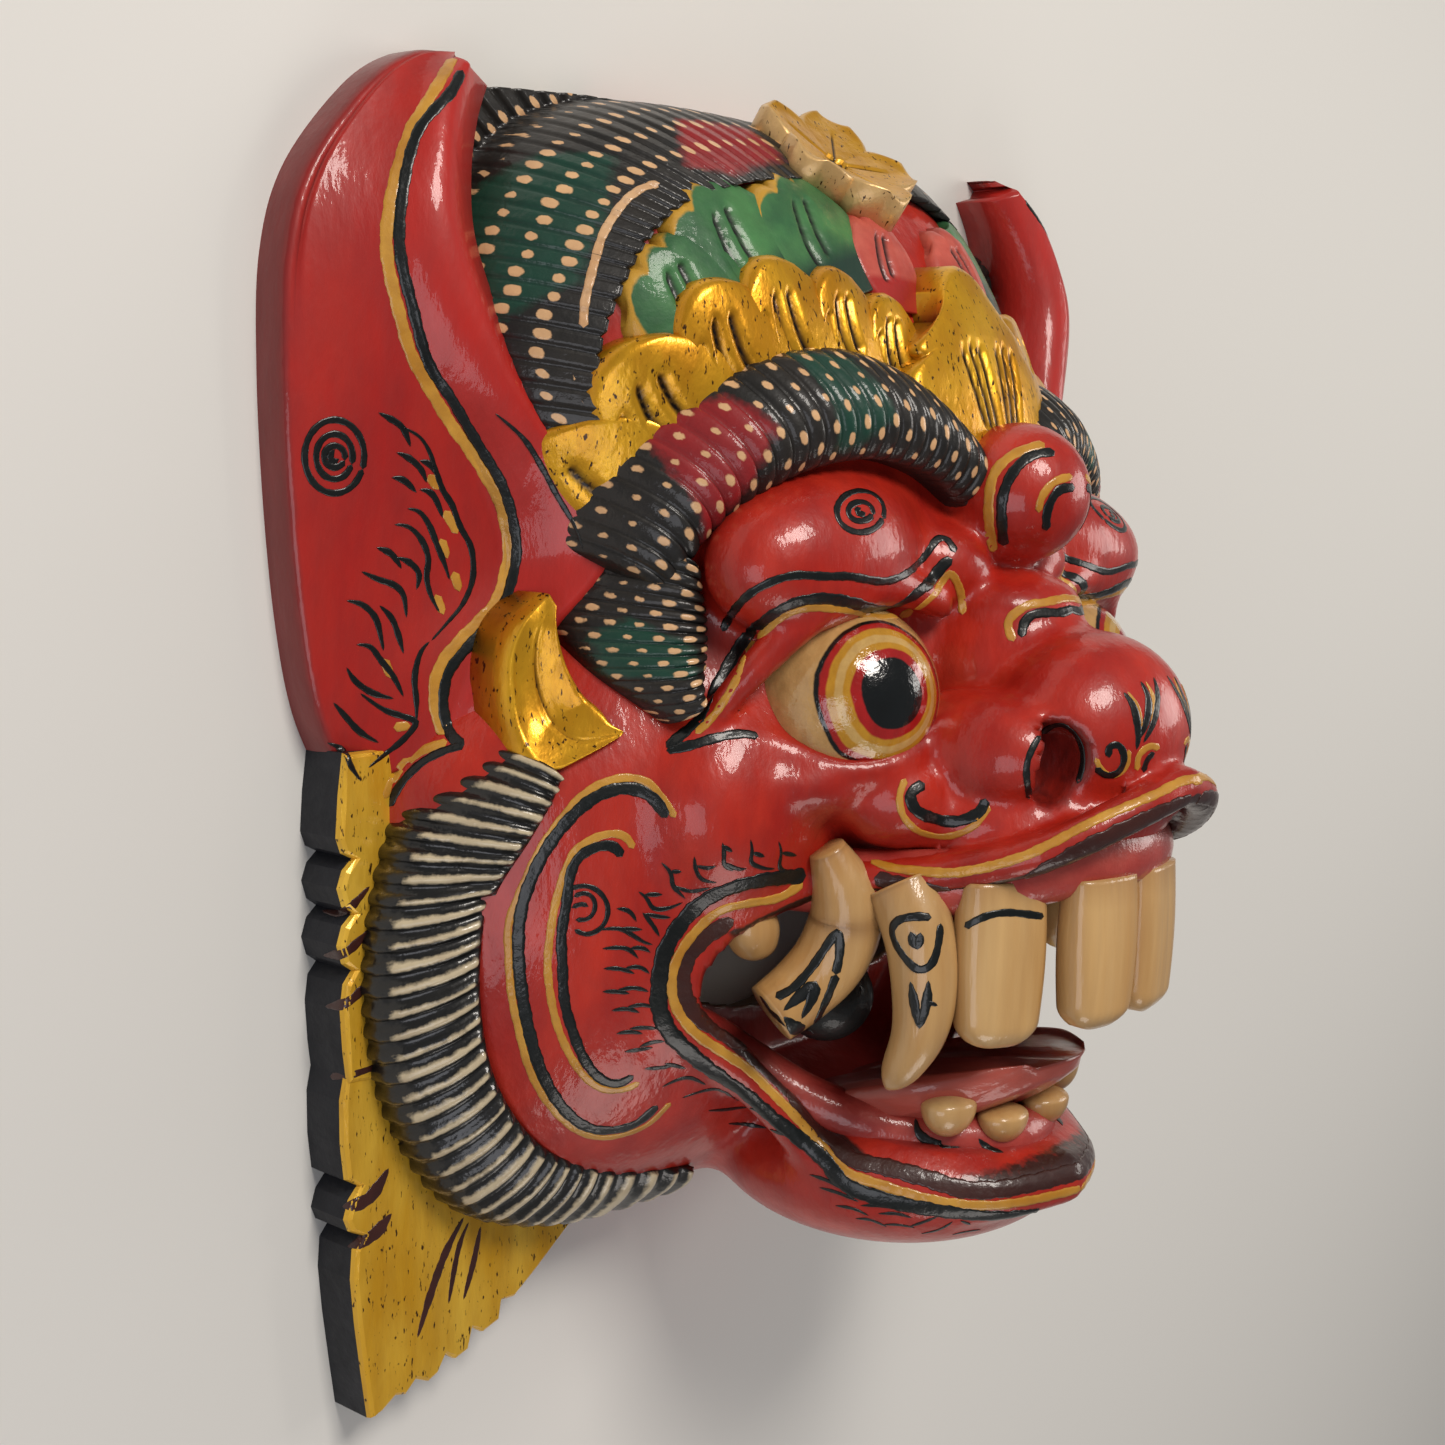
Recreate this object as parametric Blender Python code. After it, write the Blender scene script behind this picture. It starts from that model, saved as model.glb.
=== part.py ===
"""Carved wooden kirtimukha mask, lying on its flat back with the face up.

+X is the viewer's right, +Y runs to the crown and +Z comes out of the face. The back is at z = 0.
Everything is in metres. The mask is symmetric, so pieces are made on the left and copied to the right.
"""
import math

import bmesh
import bpy
from mathutils import Matrix, Vector

# Base dome that carries the face: half width at the cheeks, the temples and the crown, reach and height
cheek_half_width = 0.172
temple_half_width = 0.137
crown_half_width = 0.160
cheek_y = -0.010
temple_y = 0.050
crown_y = 0.140
dome_centre_y = 0.035
dome_reach_up = 0.168
dome_reach_down = 0.191
dome_height = 0.108
dome_squareness = 4.0
dome_profile = 2.0

# How far the hair sinks on the right of the crown, down the mask and as a share of its height
crown_drop = 0.020
crown_fall = 0.34

# Hollow carved in from the back
hollow_half_width = 0.122
hollow_centre_y = 0.026
hollow_reach_up = 0.150
hollow_reach_down = 0.132
hollow_height = 0.086
hollow_squareness = 2.6

# Flanges at the sides
ear_thickness = 0.013
leaf_thickness = 0.018

# Carved ridges
ridge_depth = 0.0022
hair_lift = 0.005
dome_ridges = 27
band_lift = 0.013
upper_band_ridges = 14
lower_band_ridges = 9
fringe_ridges = 24
fringe_thickness = 0.016

# Features on the face
eye_radius = 0.029
forehead_ball_radius = 0.022
nose_half_width = 0.036
nose_half_height = 0.030
nose_depth = 0.029
lip_thickness = 0.010
gum_radius = 0.008
front_tooth_width = 0.026
front_tooth_height = 0.044
front_tooth_depth = 0.012
tusk_radius = 0.0105
canine_radius = 0.0095
petal_thickness = 0.010
flower_radius = 0.030

lid_lift = 0.0045
lid_rise = 0.008
lid_thickness = 0.008
mouth_middle_y = -0.074
mouth_taper = 0.78

# Depth that a carved piece is sunk into what carries it, and below the back before it is cut flat
sink = 0.006
below_back = 0.004

# Size of the steps in which the pieces are fused, and how many facets the whole may have
grain = 0.0019
triangle_budget = 9400


def clear_scene():
    for thing in list(bpy.data.objects):
        bpy.data.objects.remove(thing, do_unlink=True)


def blend(a, b, share):
    t = min(max(share, 0.0), 1.0)
    return a + (b - a) * t * t * (3.0 - 2.0 * t)


def settle(point):
    """The hair on the right of the crown sits lower than on the left, so that the ear stands clear."""
    if point.x <= 0.0:
        return point
    share = blend(0.0, 1.0, (point.x - 0.02) / 0.09) * blend(0.0, 1.0, (point.y - 0.06) / 0.12)
    return Vector((point.x, point.y - crown_drop * share, point.z * (1.0 - crown_fall * share)))


def half_width_at(y):
    if y < temple_y:
        return blend(cheek_half_width, temple_half_width, (y - cheek_y) / (temple_y - cheek_y))
    return blend(temple_half_width, crown_half_width, (y - temple_y) / (crown_y - temple_y))


def dome_top(x, y):
    """Height of the base dome over the back, or 0 outside it."""
    reach = dome_reach_up if y > dome_centre_y else dome_reach_down
    across = abs(x / half_width_at(y)) ** dome_squareness
    along = abs((y - dome_centre_y) / reach) ** dome_squareness
    ring = (across + along) ** (dome_profile / dome_squareness)
    return dome_height * max(0.0, 1.0 - ring) ** (1.0 / dome_profile)


def placed(x, y, z=0.0):
    """A drawn point, moved as the dome is resized. The sizes here are those of the dome as drawn."""
    drawn_half_width = 0.172
    drawn_centre_y = 0.035
    drawn_reach_up = 0.168
    drawn_reach_down = 0.191
    drawn_height = 0.108
    stretch = dome_reach_up / drawn_reach_up if y > drawn_centre_y else dome_reach_down / drawn_reach_down
    return Vector((x * cheek_half_width / drawn_half_width,
                   dome_centre_y + (y - drawn_centre_y) * stretch,
                   z * dome_height / drawn_height))


def grown(length):
    """A drawn length, resized with the width of the dome."""
    return placed(length, 0.0).x


def on_dome(x, y, lift=0.0):
    spot = placed(x, y)
    return Vector((spot.x, spot.y, dome_top(spot.x, spot.y) + lift))


def curve_point(points, share):
    """Point at a share of a smooth curve through the given points."""
    last = len(points) - 1
    place = min(max(share, 0.0), 1.0) * last
    index = min(int(place), last - 1)
    t = place - index
    before = points[max(index - 1, 0)]
    start = points[index]
    end = points[index + 1]
    after = points[min(index + 2, last)]
    bend = (before - start * 2.5 + end * 2.0 - after * 0.5) * (t * t)
    twist = ((start - end) * 1.5 + (after - before) * 0.5) * (t * t * t)
    return start + (end - before) * (0.5 * t) + bend + twist


def vectors(*rows):
    return [placed(*row) for row in rows]


def add_grid_solid(mesh, top, under):
    """Closed solid between two grids of points with the same rows and columns."""
    upper = [[mesh.verts.new(point) for point in row] for row in top]
    lower = [[mesh.verts.new(point) for point in row] for row in under]
    rows = len(upper)
    columns = len(upper[0])
    faces = []
    for i in range(rows - 1):
        for j in range(columns - 1):
            faces.append((upper[i][j], upper[i][j + 1], upper[i + 1][j + 1], upper[i + 1][j]))
            faces.append((lower[i][j], lower[i + 1][j], lower[i + 1][j + 1], lower[i][j + 1]))
    for j in range(columns - 1):
        faces.append((upper[0][j + 1], upper[0][j], lower[0][j], lower[0][j + 1]))
        faces.append((upper[-1][j], upper[-1][j + 1], lower[-1][j + 1], lower[-1][j]))
    for i in range(rows - 1):
        faces.append((upper[i][0], upper[i + 1][0], lower[i + 1][0], lower[i][0]))
        faces.append((upper[i + 1][-1], upper[i][-1], lower[i][-1], lower[i + 1][-1]))
    for corners in faces:
        mesh.faces.new(corners)


def add_layers(mesh, outlines, heights):
    """Closed solid through outlines of (x, y) at rising heights, counter-clockwise seen from the front."""
    layers = []
    for outline, z in zip(outlines, heights):
        layers.append([mesh.verts.new((x, y, z)) for x, y in outline])
    for low, high in zip(layers, layers[1:]):
        for i in range(len(low)):
            n = (i + 1) % len(low)
            mesh.faces.new((low[i], low[n], high[n], high[i]))
    mesh.faces.new(layers[-1])
    mesh.faces.new(list(reversed(layers[0])))


def add_ellipsoid(mesh, centre, radii, segments=12, rings=8, turn=None):
    place = Matrix.Translation(centre) @ (turn or Matrix.Identity(4)) @ Matrix.Diagonal((*radii, 1.0))
    bmesh.ops.create_uvsphere(mesh, u_segments=segments, v_segments=rings, radius=1.0, matrix=place)


def add_lump(mesh, centre, radii, segments=12, rings=8, turn=None):
    """An ellipsoid drawn on the dome, which moves and grows with it."""
    add_ellipsoid(mesh, placed(*centre), [grown(radius) for radius in radii], segments, rings, turn)


def add_tube(mesh, points, radii, sides=7, flatten=1.0, up=Vector((0.0, 1.0, 0.0))):
    """Closed tube with its own radius at each point. flatten scales it along up."""
    rings = []
    last = len(points) - 1
    for i, point in enumerate(points):
        along = (points[min(i + 1, last)] - points[max(i - 1, 0)]).normalized()
        side = along.cross(up).normalized()
        rise = side.cross(along).normalized()
        ring = []
        for k in range(sides):
            angle = 2.0 * math.pi * k / sides
            offset = side * math.cos(angle) + rise * (math.sin(angle) * flatten)
            ring.append(mesh.verts.new(point + offset * radii[i]))
        rings.append(ring)
    for i in range(last):
        for k in range(sides):
            n = (k + 1) % sides
            mesh.faces.new((rings[i][k], rings[i][n], rings[i + 1][n], rings[i + 1][k]))
    mesh.faces.new(list(reversed(rings[0])))
    mesh.faces.new(rings[-1])


def bowl_outline(angle, squareness):
    c = math.cos(angle)
    s = math.sin(angle)
    size = (abs(c) ** squareness + abs(s) ** squareness) ** (-1.0 / squareness)
    return c * size, s * size


def add_dome(mesh):
    """The base dome, squarish in plan and round in profile, over a short foot."""
    segments = 60
    rings = 12
    outlines = []
    heights = []
    for j in range(rings):
        slope = 0.5 * math.pi * j / rings
        spread = math.cos(slope) ** (2.0 / dome_profile)
        outline = []
        for i in range(segments):
            c, s = bowl_outline(2.0 * math.pi * i / segments, dome_squareness)
            y = dome_centre_y + s * spread * (dome_reach_up if s > 0 else dome_reach_down)
            outline.append((c * spread * half_width_at(y), y))
        outlines.append(outline)
        heights.append(dome_height * math.sin(slope))
    add_layers(mesh, [outlines[0]] + outlines, [-below_back] + heights)


def add_hollow(mesh):
    """The oval bowl that is carved out from behind."""
    segments = 36
    rings = 8
    outlines = []
    heights = []
    for j in range(rings):
        slope = 0.5 * math.pi * j / rings
        outline = []
        for i in range(segments):
            c, s = bowl_outline(2.0 * math.pi * i / segments, hollow_squareness)
            reach = hollow_reach_up if s > 0 else hollow_reach_down
            outline.append((c * math.cos(slope) * hollow_half_width,
                            hollow_centre_y + s * math.cos(slope) * reach))
        outlines.append(outline)
        heights.append(hollow_height * math.sin(slope))
    add_layers(mesh, [outlines[0]] + outlines, [-2.0 * below_back] + heights)


def ridged_patch(inner, outer, ridges, rows, lift, under):
    """Grids of a carved patch between two curves on the dome, with one ridge after another."""
    top = []
    bottom = []
    columns = 2 * ridges + 1
    for i in range(columns):
        share = i / (columns - 1)
        start = curve_point(inner, share)
        end = curve_point(outer, share)
        rise = ridge_depth if i % 2 else 0.0
        edge = min(i, columns - 1 - i, 1)
        row = []
        low = []
        for j in range(rows + 1):
            across = j / rows
            spot = start.lerp(end, across)
            swell = math.sin(math.pi * (0.12 + 0.76 * across))
            row.append(spot + Vector((0.0, 0.0, (lift * swell * (0.4 + 0.6 * edge)) + rise)))
            low.append(spot - Vector((0.0, 0.0, under)))
        top.append(row)
        bottom.append(low)
    return top, bottom


def add_ears(mesh):
    """Ear flange: rim, shallow shell, raised line, the inner ear and its border under the hair."""
    rim = vectors((-0.142, 0.204, 0), (-0.156, 0.202, 0), (-0.173, 0.191, 0), (-0.193, 0.167, 0),
                  (-0.201, 0.143, 0), (-0.202, 0.112, 0), (-0.200, 0.076, 0), (-0.196, 0.042, 0),
                  (-0.190, 0.016, 0), (-0.179, -0.006, 0))
    line = vectors((-0.147, 0.201, 0.018), (-0.160, 0.190, 0.022), (-0.168, 0.175, 0.025),
                   (-0.174, 0.158, 0.028), (-0.174, 0.138, 0.029), (-0.163, 0.110, 0.030),
                   (-0.148, 0.086, 0.031), (-0.138, 0.060, 0.032), (-0.147, 0.034, 0.031),
                   (-0.158, 0.004, 0.026))
    border = vectors((-0.145, 0.198, 0.022), (-0.154, 0.186, 0.027), (-0.161, 0.170, 0.032),
                     (-0.163, 0.152, 0.036), (-0.156, 0.130, 0.040), (-0.146, 0.108, 0.045),
                     (-0.132, 0.088, 0.050), (-0.121, 0.064, 0.058), (-0.137, 0.036, 0.044),
                     (-0.146, 0.002, 0.030))
    stations = 21
    top = []
    under = []
    for i in range(stations):
        share = i / (stations - 1)
        a = curve_point(rim, share)
        b = curve_point(line, share)
        c = curve_point(border, share)
        full = math.sin(math.pi * share) ** 0.6
        shell = a.lerp(b, 0.55)
        root = Vector((c.x * 0.84, c.y * 0.97, 0.0))
        heights = (ear_thickness, ear_thickness * (1.0 + 0.23 * full), b.z, c.z, c.z + hair_lift)
        spots = (a, shell, b, c, root)
        top.append([Vector((p.x, p.y, h)) for p, h in zip(spots, heights)])
        under.append([Vector((p.x, p.y, -below_back)) for p in spots])
    add_grid_solid(mesh, top, under)
    lobe = vectors((-0.176, -0.007, 0.012), (-0.167, 0.002, 0.020), (-0.158, 0.018, 0.028))
    add_tube(mesh, lobe, [grown(r) for r in (0.008, 0.011, 0.008)], sides=8)


def add_lower_leaves(mesh):
    """The gold leaves under each ear, with cut notches."""
    upper = [(-0.1850, 0.0060), (-0.1870, -0.0180), (-0.1820, -0.0260), (-0.1865, -0.0330),
             (-0.1825, -0.0430), (-0.1865, -0.0500), (-0.1820, -0.0600), (-0.1850, -0.0680),
             (-0.1830, -0.0900), (-0.1500, -0.0920), (-0.1400, 0.0060)]
    upper = [placed(x, y).xy for x, y in upper]
    add_layers(mesh, [upper, upper], (-below_back, leaf_thickness))
    lower = [(-0.1830, -0.0800), (-0.1850, -0.0950), (-0.1830, -0.1220), (-0.1790, -0.1280),
             (-0.1830, -0.1360), (-0.1770, -0.1440), (-0.1800, -0.1560), (-0.1740, -0.1960),
             (-0.1600, -0.1930), (-0.1470, -0.1920), (-0.1320, -0.1870), (-0.1290, -0.1790),
             (-0.1200, -0.1820), (-0.1140, -0.1730), (-0.1050, -0.1690), (-0.0900, -0.1580),
             (-0.0900, -0.1300), (-0.1400, -0.1000), (-0.1500, -0.0800)]
    lower = [placed(x, y).xy for x, y in lower]
    add_layers(mesh, [lower, lower], (-below_back, leaf_thickness * 0.95))


def add_dome_hair(mesh):
    """Ridged hair between the ear, the crown and the leaves, as a fan of ridges."""
    inner = vectors((-0.120, 0.088), (-0.131, 0.116), (-0.122, 0.143), (-0.103, 0.162), (-0.075, 0.172),
                    (-0.040, 0.178), (0.0, 0.181))
    outer = vectors((-0.138, 0.090), (-0.155, 0.122), (-0.161, 0.155), (-0.147, 0.190), (-0.100, 0.1995),
                    (-0.050, 0.2015), (0.0, 0.202))
    columns = 2 * dome_ridges + 1
    top = []
    under = []
    for i in range(columns):
        share = i / (columns - 1)
        start = curve_point(inner, share)
        end = curve_point(outer, share)
        rise = ridge_depth if i % 2 else 0.0
        row = []
        low = []
        for j in range(4):
            spot = start.lerp(end, j / 3.0)
            base = max(dome_top(spot.x, spot.y), sink)
            row.append(Vector((spot.x, spot.y, base + hair_lift + rise)))
            low.append(Vector((spot.x, spot.y, max(base - sink, -below_back))))
        top.append(row)
        under.append(low)
    add_grid_solid(mesh, top, under)


def add_bands(mesh):
    """The two ridged bands of hair over each eye."""
    spots = ((-0.112, 0.050), (-0.104, 0.070), (-0.086, 0.086), (-0.062, 0.092), (-0.038, 0.088),
             (-0.020, 0.078))
    inner = [on_dome(x, y, 0.006) for x, y in spots]
    spots = ((-0.132, 0.066), (-0.122, 0.093), (-0.098, 0.116), (-0.068, 0.124), (-0.036, 0.118),
             (-0.014, 0.102))
    outer = [on_dome(x, y, 0.002) for x, y in spots]
    top, under = ridged_patch(inner, outer, upper_band_ridges, 3, band_lift, sink)
    add_grid_solid(mesh, top, under)
    spots = ((-0.094, 0.016), (-0.089, 0.030), (-0.092, 0.046), (-0.100, 0.060))
    inner = [on_dome(x, y, 0.004) for x, y in spots]
    spots = ((-0.112, 0.010), (-0.127, 0.028), (-0.129, 0.050), (-0.117, 0.068))
    outer = [on_dome(x, y, 0.002) for x, y in spots]
    top, under = ridged_patch(inner, outer, lower_band_ridges, 3, band_lift, sink)
    add_grid_solid(mesh, top, under)


def add_fringe(mesh):
    """The ridged fringe around the cheek, flaring out over the leaves."""
    inner = vectors((-0.131, 0.001, 0.044), (-0.147, -0.015, 0.044), (-0.155, -0.038, 0.043),
                    (-0.157, -0.064, 0.043), (-0.150, -0.091, 0.043), (-0.131, -0.115, 0.043),
                    (-0.105, -0.128, 0.044), (-0.064, -0.138, 0.046))
    outer = vectors((-0.152, -0.006, 0.028), (-0.168, -0.019, 0.027), (-0.178, -0.044, 0.026),
                    (-0.178, -0.076, 0.026), (-0.167, -0.108, 0.026), (-0.144, -0.137, 0.026),
                    (-0.106, -0.151, 0.027), (-0.060, -0.152, 0.030))
    columns = 2 * fringe_ridges + 1
    top = []
    under = []
    for i in range(columns):
        share = i / (columns - 1)
        start = curve_point(inner, share)
        end = curve_point(outer, share)
        rise = ridge_depth if i % 2 else 0.0
        row = []
        low = []
        for j in range(3):
            spot = start.lerp(end, 0.5 * j)
            row.append(spot + Vector((0.0, 0.0, rise)))
            low.append(Vector((spot.x, spot.y, spot.z - fringe_thickness)))
        top.append(row)
        under.append(low)
    add_grid_solid(mesh, top, under)


def add_petal(mesh, root, tip, half_width, lift):
    """A broad petal lying on the dome, with a rounded tip and a fold on each side of its middle."""
    along = tip - root
    side = Vector((-along.y, along.x, 0.0)).normalized()
    widths = (0.62, 0.86, 1.0, 0.92, 0.55)
    top = []
    under = []
    for i, wide in enumerate(widths):
        share = i / (len(widths) - 1)
        row = []
        low = []
        for j in range(7):
            v = j / 3.0 - 1.0
            spot = root + along * (share - 0.14 * v * v * share) + side * (v * wide * half_width)
            fold = -ridge_depth if j in (2, 4) else 0.0
            carried = max(dome_top(spot.x, spot.y), leaf_thickness * 0.9)
            height = carried + lift * (1.0 - 0.35 * v * v) * (0.35 + 0.65 * share)
            row.append(Vector((spot.x, spot.y, height + fold)))
            low.append(Vector((spot.x, spot.y, carried - sink)))
        top.append(row)
        under.append(low)
    add_grid_solid(mesh, top, under)


def add_petal_band(mesh):
    """Gold petals over the brow hair, the green leaves above them and the crescent by the ear."""
    petals = (((-0.106, 0.074), (-0.143, 0.090), 0.021), ((-0.096, 0.094), (-0.129, 0.119), 0.019),
              ((-0.083, 0.106), (-0.108, 0.139), 0.018), ((-0.066, 0.112), (-0.086, 0.148), 0.018),
              ((-0.048, 0.114), (-0.060, 0.148), 0.015), ((-0.030, 0.110), (-0.038, 0.142), 0.014))
    for root, tip, half_width in petals:
        add_petal(mesh, placed(*root), placed(*tip), grown(half_width), petal_thickness)
    leaves = (((-0.096, 0.124), (-0.116, 0.146), 0.017), ((-0.078, 0.138), (-0.094, 0.165), 0.019),
              ((-0.052, 0.142), (-0.056, 0.174), 0.020), ((-0.026, 0.142), (-0.022, 0.175), 0.016))
    for root, tip, half_width in leaves:
        add_petal(mesh, placed(*root), placed(*tip), grown(half_width), petal_thickness * 0.7)
    add_petal(mesh, placed(-0.108, 0.012), placed(-0.147, 0.034), grown(0.017), petal_thickness)


def add_middle_ornament(mesh):
    """Gold ornament over the forehead ball, and the flower at the crown."""
    for root, tip, half_width in (((0.0, 0.094), (0.0, 0.152), 0.026), ((0.0, 0.094), (0.0, 0.128), 0.034)):
        add_petal(mesh, placed(*root), placed(*tip), grown(half_width), petal_thickness * 1.5)
    centre = on_dome(0.0, 0.180, flower_radius * 0.13)
    slope = Matrix.Rotation(-0.95, 4, "X")
    for k in range(5):
        angle = 2.0 * math.pi * (k + 0.5) / 5
        turn = Matrix.Rotation(angle, 4, "Z")
        offset = slope @ turn @ Vector((0.0, flower_radius * 0.52, 0.0))
        lie = slope @ turn @ Matrix.Rotation(0.35, 4, "X")
        add_ellipsoid(mesh, centre + offset, Vector((0.43, 0.5, 0.2)) * flower_radius, 8, 6, lie)
    add_ellipsoid(mesh, centre, Vector((0.37, 0.37, 0.4)) * flower_radius, 8, 6, slope)


def add_brow_and_eye(mesh):
    """Red bulge of the brow, the lids and the eyeball."""
    add_lump(mesh, (-0.068, 0.066, 0.092), (0.042, 0.024, 0.024), 14, 8, Matrix.Rotation(0.12, 4, "Z"))
    add_lump(mesh, (-0.022, 0.062, 0.102), (0.018, 0.015, 0.020), 10, 6)
    eye_centre = placed(-0.0600, 0.021, 0.097)
    add_ellipsoid(mesh, eye_centre, (eye_radius,) * 3, 14, 10)
    lid = []
    for k in range(9):
        angle = math.radians(200.0 - 200.0 * k / 8)
        reach = eye_radius + lid_lift
        stretch = 1.0 + 0.35 * max(0.0, -math.cos(angle)) ** 2
        lid.append(eye_centre + Vector((reach * math.cos(angle) * stretch, reach * math.sin(angle), lid_rise)))
    add_tube(mesh, lid, [lid_thickness * r for r in (0.5, 0.75, 0.9, 1.0, 1.0, 1.0, 0.9, 0.75, 0.5)], sides=6)
    low = []
    for k in range(6):
        angle = math.radians(205.0 + 130.0 * k / 5)
        low.append(eye_centre + Vector((eye_radius * 1.06 * math.cos(angle), eye_radius * math.sin(angle), lid_rise * 0.5)))
    add_tube(mesh, low, [lid_thickness * r for r in (0.4, 0.75, 0.9, 0.9, 0.75, 0.4)], sides=6)


def add_nose(mesh):
    add_ellipsoid(mesh, placed(0.0, 0.012, 0.147), (nose_half_width, nose_half_height, nose_depth), 16, 10)
    add_lump(mesh, (0.0, 0.024, 0.112), (0.030, 0.034, 0.034))
    add_lump(mesh, (0.0, 0.050, 0.120), (0.024, 0.013, 0.017), 12, 6)
    add_ellipsoid(mesh, placed(0.0, 0.083, 0.118), (forehead_ball_radius,) * 3, 14, 8)


def add_nostril_wing(mesh):
    add_lump(mesh, (-0.034, 0.006, 0.128), (0.018, 0.018, 0.028), 10, 8)
    add_lump(mesh, (-0.054, -0.008, 0.112), (0.017, 0.015, 0.018), 10, 6)
    add_lump(mesh, (-0.085, -0.010, 0.082), (0.034, 0.030, 0.020), 10, 6)


def lip_curve():
    """Edge of the upper lip, from the left mouth corner round to the right one."""
    half = vectors((-0.108, -0.056, 0.070), (-0.090, -0.043, 0.082), (-0.070, -0.034, 0.100),
                   (-0.057, -0.030, 0.128), (-0.042, -0.021, 0.158), (-0.021, -0.009, 0.176),
                   (0.0, -0.003, 0.180))
    return half + [Vector((-p.x, p.y, p.z)) for p in reversed(half[:-1])]


def jaw_curve():
    half = vectors((-0.109, -0.066, 0.068), (-0.106, -0.088, 0.071), (-0.086, -0.111, 0.079),
                   (-0.062, -0.127, 0.090), (-0.046, -0.133, 0.112), (-0.026, -0.134, 0.134),
                   (0.0, -0.132, 0.146))
    return half + [Vector((-p.x, p.y, p.z)) for p in reversed(half[:-1])]


def add_lips(mesh):
    """Upper muzzle and lip shelf, lower jaw and lower lip."""
    add_lump(mesh, (0.0, -0.014, 0.096), (0.062, 0.024, 0.076), 16, 10)
    add_lump(mesh, (0.0, -0.134, 0.080), (0.062, 0.030, 0.062), 16, 8)
    upper = lip_curve()
    thick = lip_thickness
    add_tube(mesh, upper, [thick * 0.62] * 2 + [thick * 0.8] * 9 + [thick * 0.62] * 2, sides=6, flatten=0.75)
    lower = jaw_curve()
    add_tube(mesh, lower, [thick * 0.62] * 2 + [thick * 0.95] * 9 + [thick * 0.62] * 2, sides=6)


def add_mouth_cutter(mesh):
    """What is cut away between the lips, narrowing towards the hollow that it opens into."""
    top_half = ((-0.040, -0.038), (-0.066, -0.041), (-0.090, -0.050))
    side_half = ((-0.101, -0.062), (-0.103, -0.078), (-0.096, -0.092), (-0.076, -0.108), (-0.050, -0.118))
    left = [placed(x, y).xy for x, y in top_half + side_half]
    outline = left + [(-x, y) for x, y in reversed(left)]
    layers = []
    for scale in (mouth_taper, 0.95, 1.0):
        layers.append([(x * scale, mouth_middle_y + (y - mouth_middle_y) * scale) for x, y in outline])
    add_layers(mesh, layers, (hollow_height * 0.45, hollow_height * 0.9, hollow_height * 2.8))


def add_gums_and_teeth(mesh):
    """Upper gum with its four front teeth, and the lower teeth."""
    gum = vectors((-0.070, -0.036, 0.086), (-0.058, -0.037, 0.112), (-0.046, -0.035, 0.138),
                  (-0.026, -0.031, 0.154), (0.0, -0.029, 0.160))
    gum = gum + [Vector((-p.x, p.y, p.z)) for p in reversed(gum[:-1])]
    add_tube(mesh, gum, [gum_radius] * 9, sides=6, flatten=1.3)
    for side in (-1.0, 1.0):
        for x, z, swing, tall in ((0.0138, 0.157, 0.12, 1.0), (0.0405, 0.141, 0.55, 0.92)):
            place = Matrix.Translation(placed(side * x, -0.030, z)) @ Matrix.Rotation(side * swing, 4, "Y")
            half = front_tooth_width * 0.5
            depth = front_tooth_depth * 0.5
            height = front_tooth_height * tall
            rows = ((0.0, 0.86, 0.9), (-0.55, 1.0, 1.0), (-0.88, 0.92, 0.8), (-1.0, 0.7, 0.4))
            top = []
            under = []
            for level, wide, deep in rows:
                line = []
                back = []
                for v in (-1.0, -0.55, 0.0, 0.55, 1.0):
                    bulge = math.sqrt(1.0 - 0.75 * v * v)
                    line.append(place @ Vector((v * half * wide, level * height, depth * deep * bulge)))
                    back.append(place @ Vector((v * half * wide, level * height, -depth * deep * bulge)))
                top.append(line)
                under.append(back)
            add_grid_solid(mesh, top, under)
        for x, z in ((0.011, 0.128), (0.031, 0.118)):
            add_lump(mesh, (side * x, -0.118, z), (0.0105, 0.014, 0.009), 8, 6)


def add_tusks(mesh):
    """Curled tusk at the mouth corner, the canine in front of it and the back tooth."""
    tusk = vectors((-0.076, -0.026, 0.090), (-0.072, -0.042, 0.100), (-0.074, -0.060, 0.102),
                   (-0.082, -0.076, 0.094), (-0.092, -0.086, 0.080))
    add_tube(mesh, tusk, [tusk_radius * r for r in (0.8, 1.1, 1.0, 0.7, 0.24)], sides=8)
    canine = vectors((-0.062, -0.034, 0.116), (-0.062, -0.056, 0.124), (-0.062, -0.078, 0.126),
                     (-0.064, -0.098, 0.120))
    add_tube(mesh, canine, [canine_radius * r for r in (1.0, 1.05, 0.75, 0.26)], sides=8,
             up=Vector((1.0, 0.0, 0.0)))
    molar = vectors((-0.092, -0.044, 0.070), (-0.092, -0.052, 0.074), (-0.091, -0.062, 0.072))
    add_tube(mesh, molar, [canine_radius * r for r in (1.05, 0.95, 0.32)], sides=7, up=Vector((1.0, 0.0, 0.0)))


def add_tongue(mesh):
    """Tongue on the floor of the lower jaw, running back to the wall of the hollow."""
    rows = ((0.052, -0.122, 0.046, 0.010), (0.078, -0.112, 0.046, 0.013), (0.104, -0.104, 0.042, 0.012),
            (0.128, -0.099, 0.032, 0.009), (0.146, -0.096, 0.014, 0.005))
    top = []
    under = []
    for z, y, half, thick in rows:
        line = []
        back = []
        for v in (-1.0, -0.5, 0.0, 0.5, 1.0):
            groove = 0.003 if v == 0.0 else 0.0
            line.append(placed(v * half, y - 0.004 * v * v - thick * 1.6, z))
            back.append(placed(v * half, y - 0.006 * v * v - groove, z))
        top.append(line)
        under.append(back)
    add_grid_solid(mesh, under, top)


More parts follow.
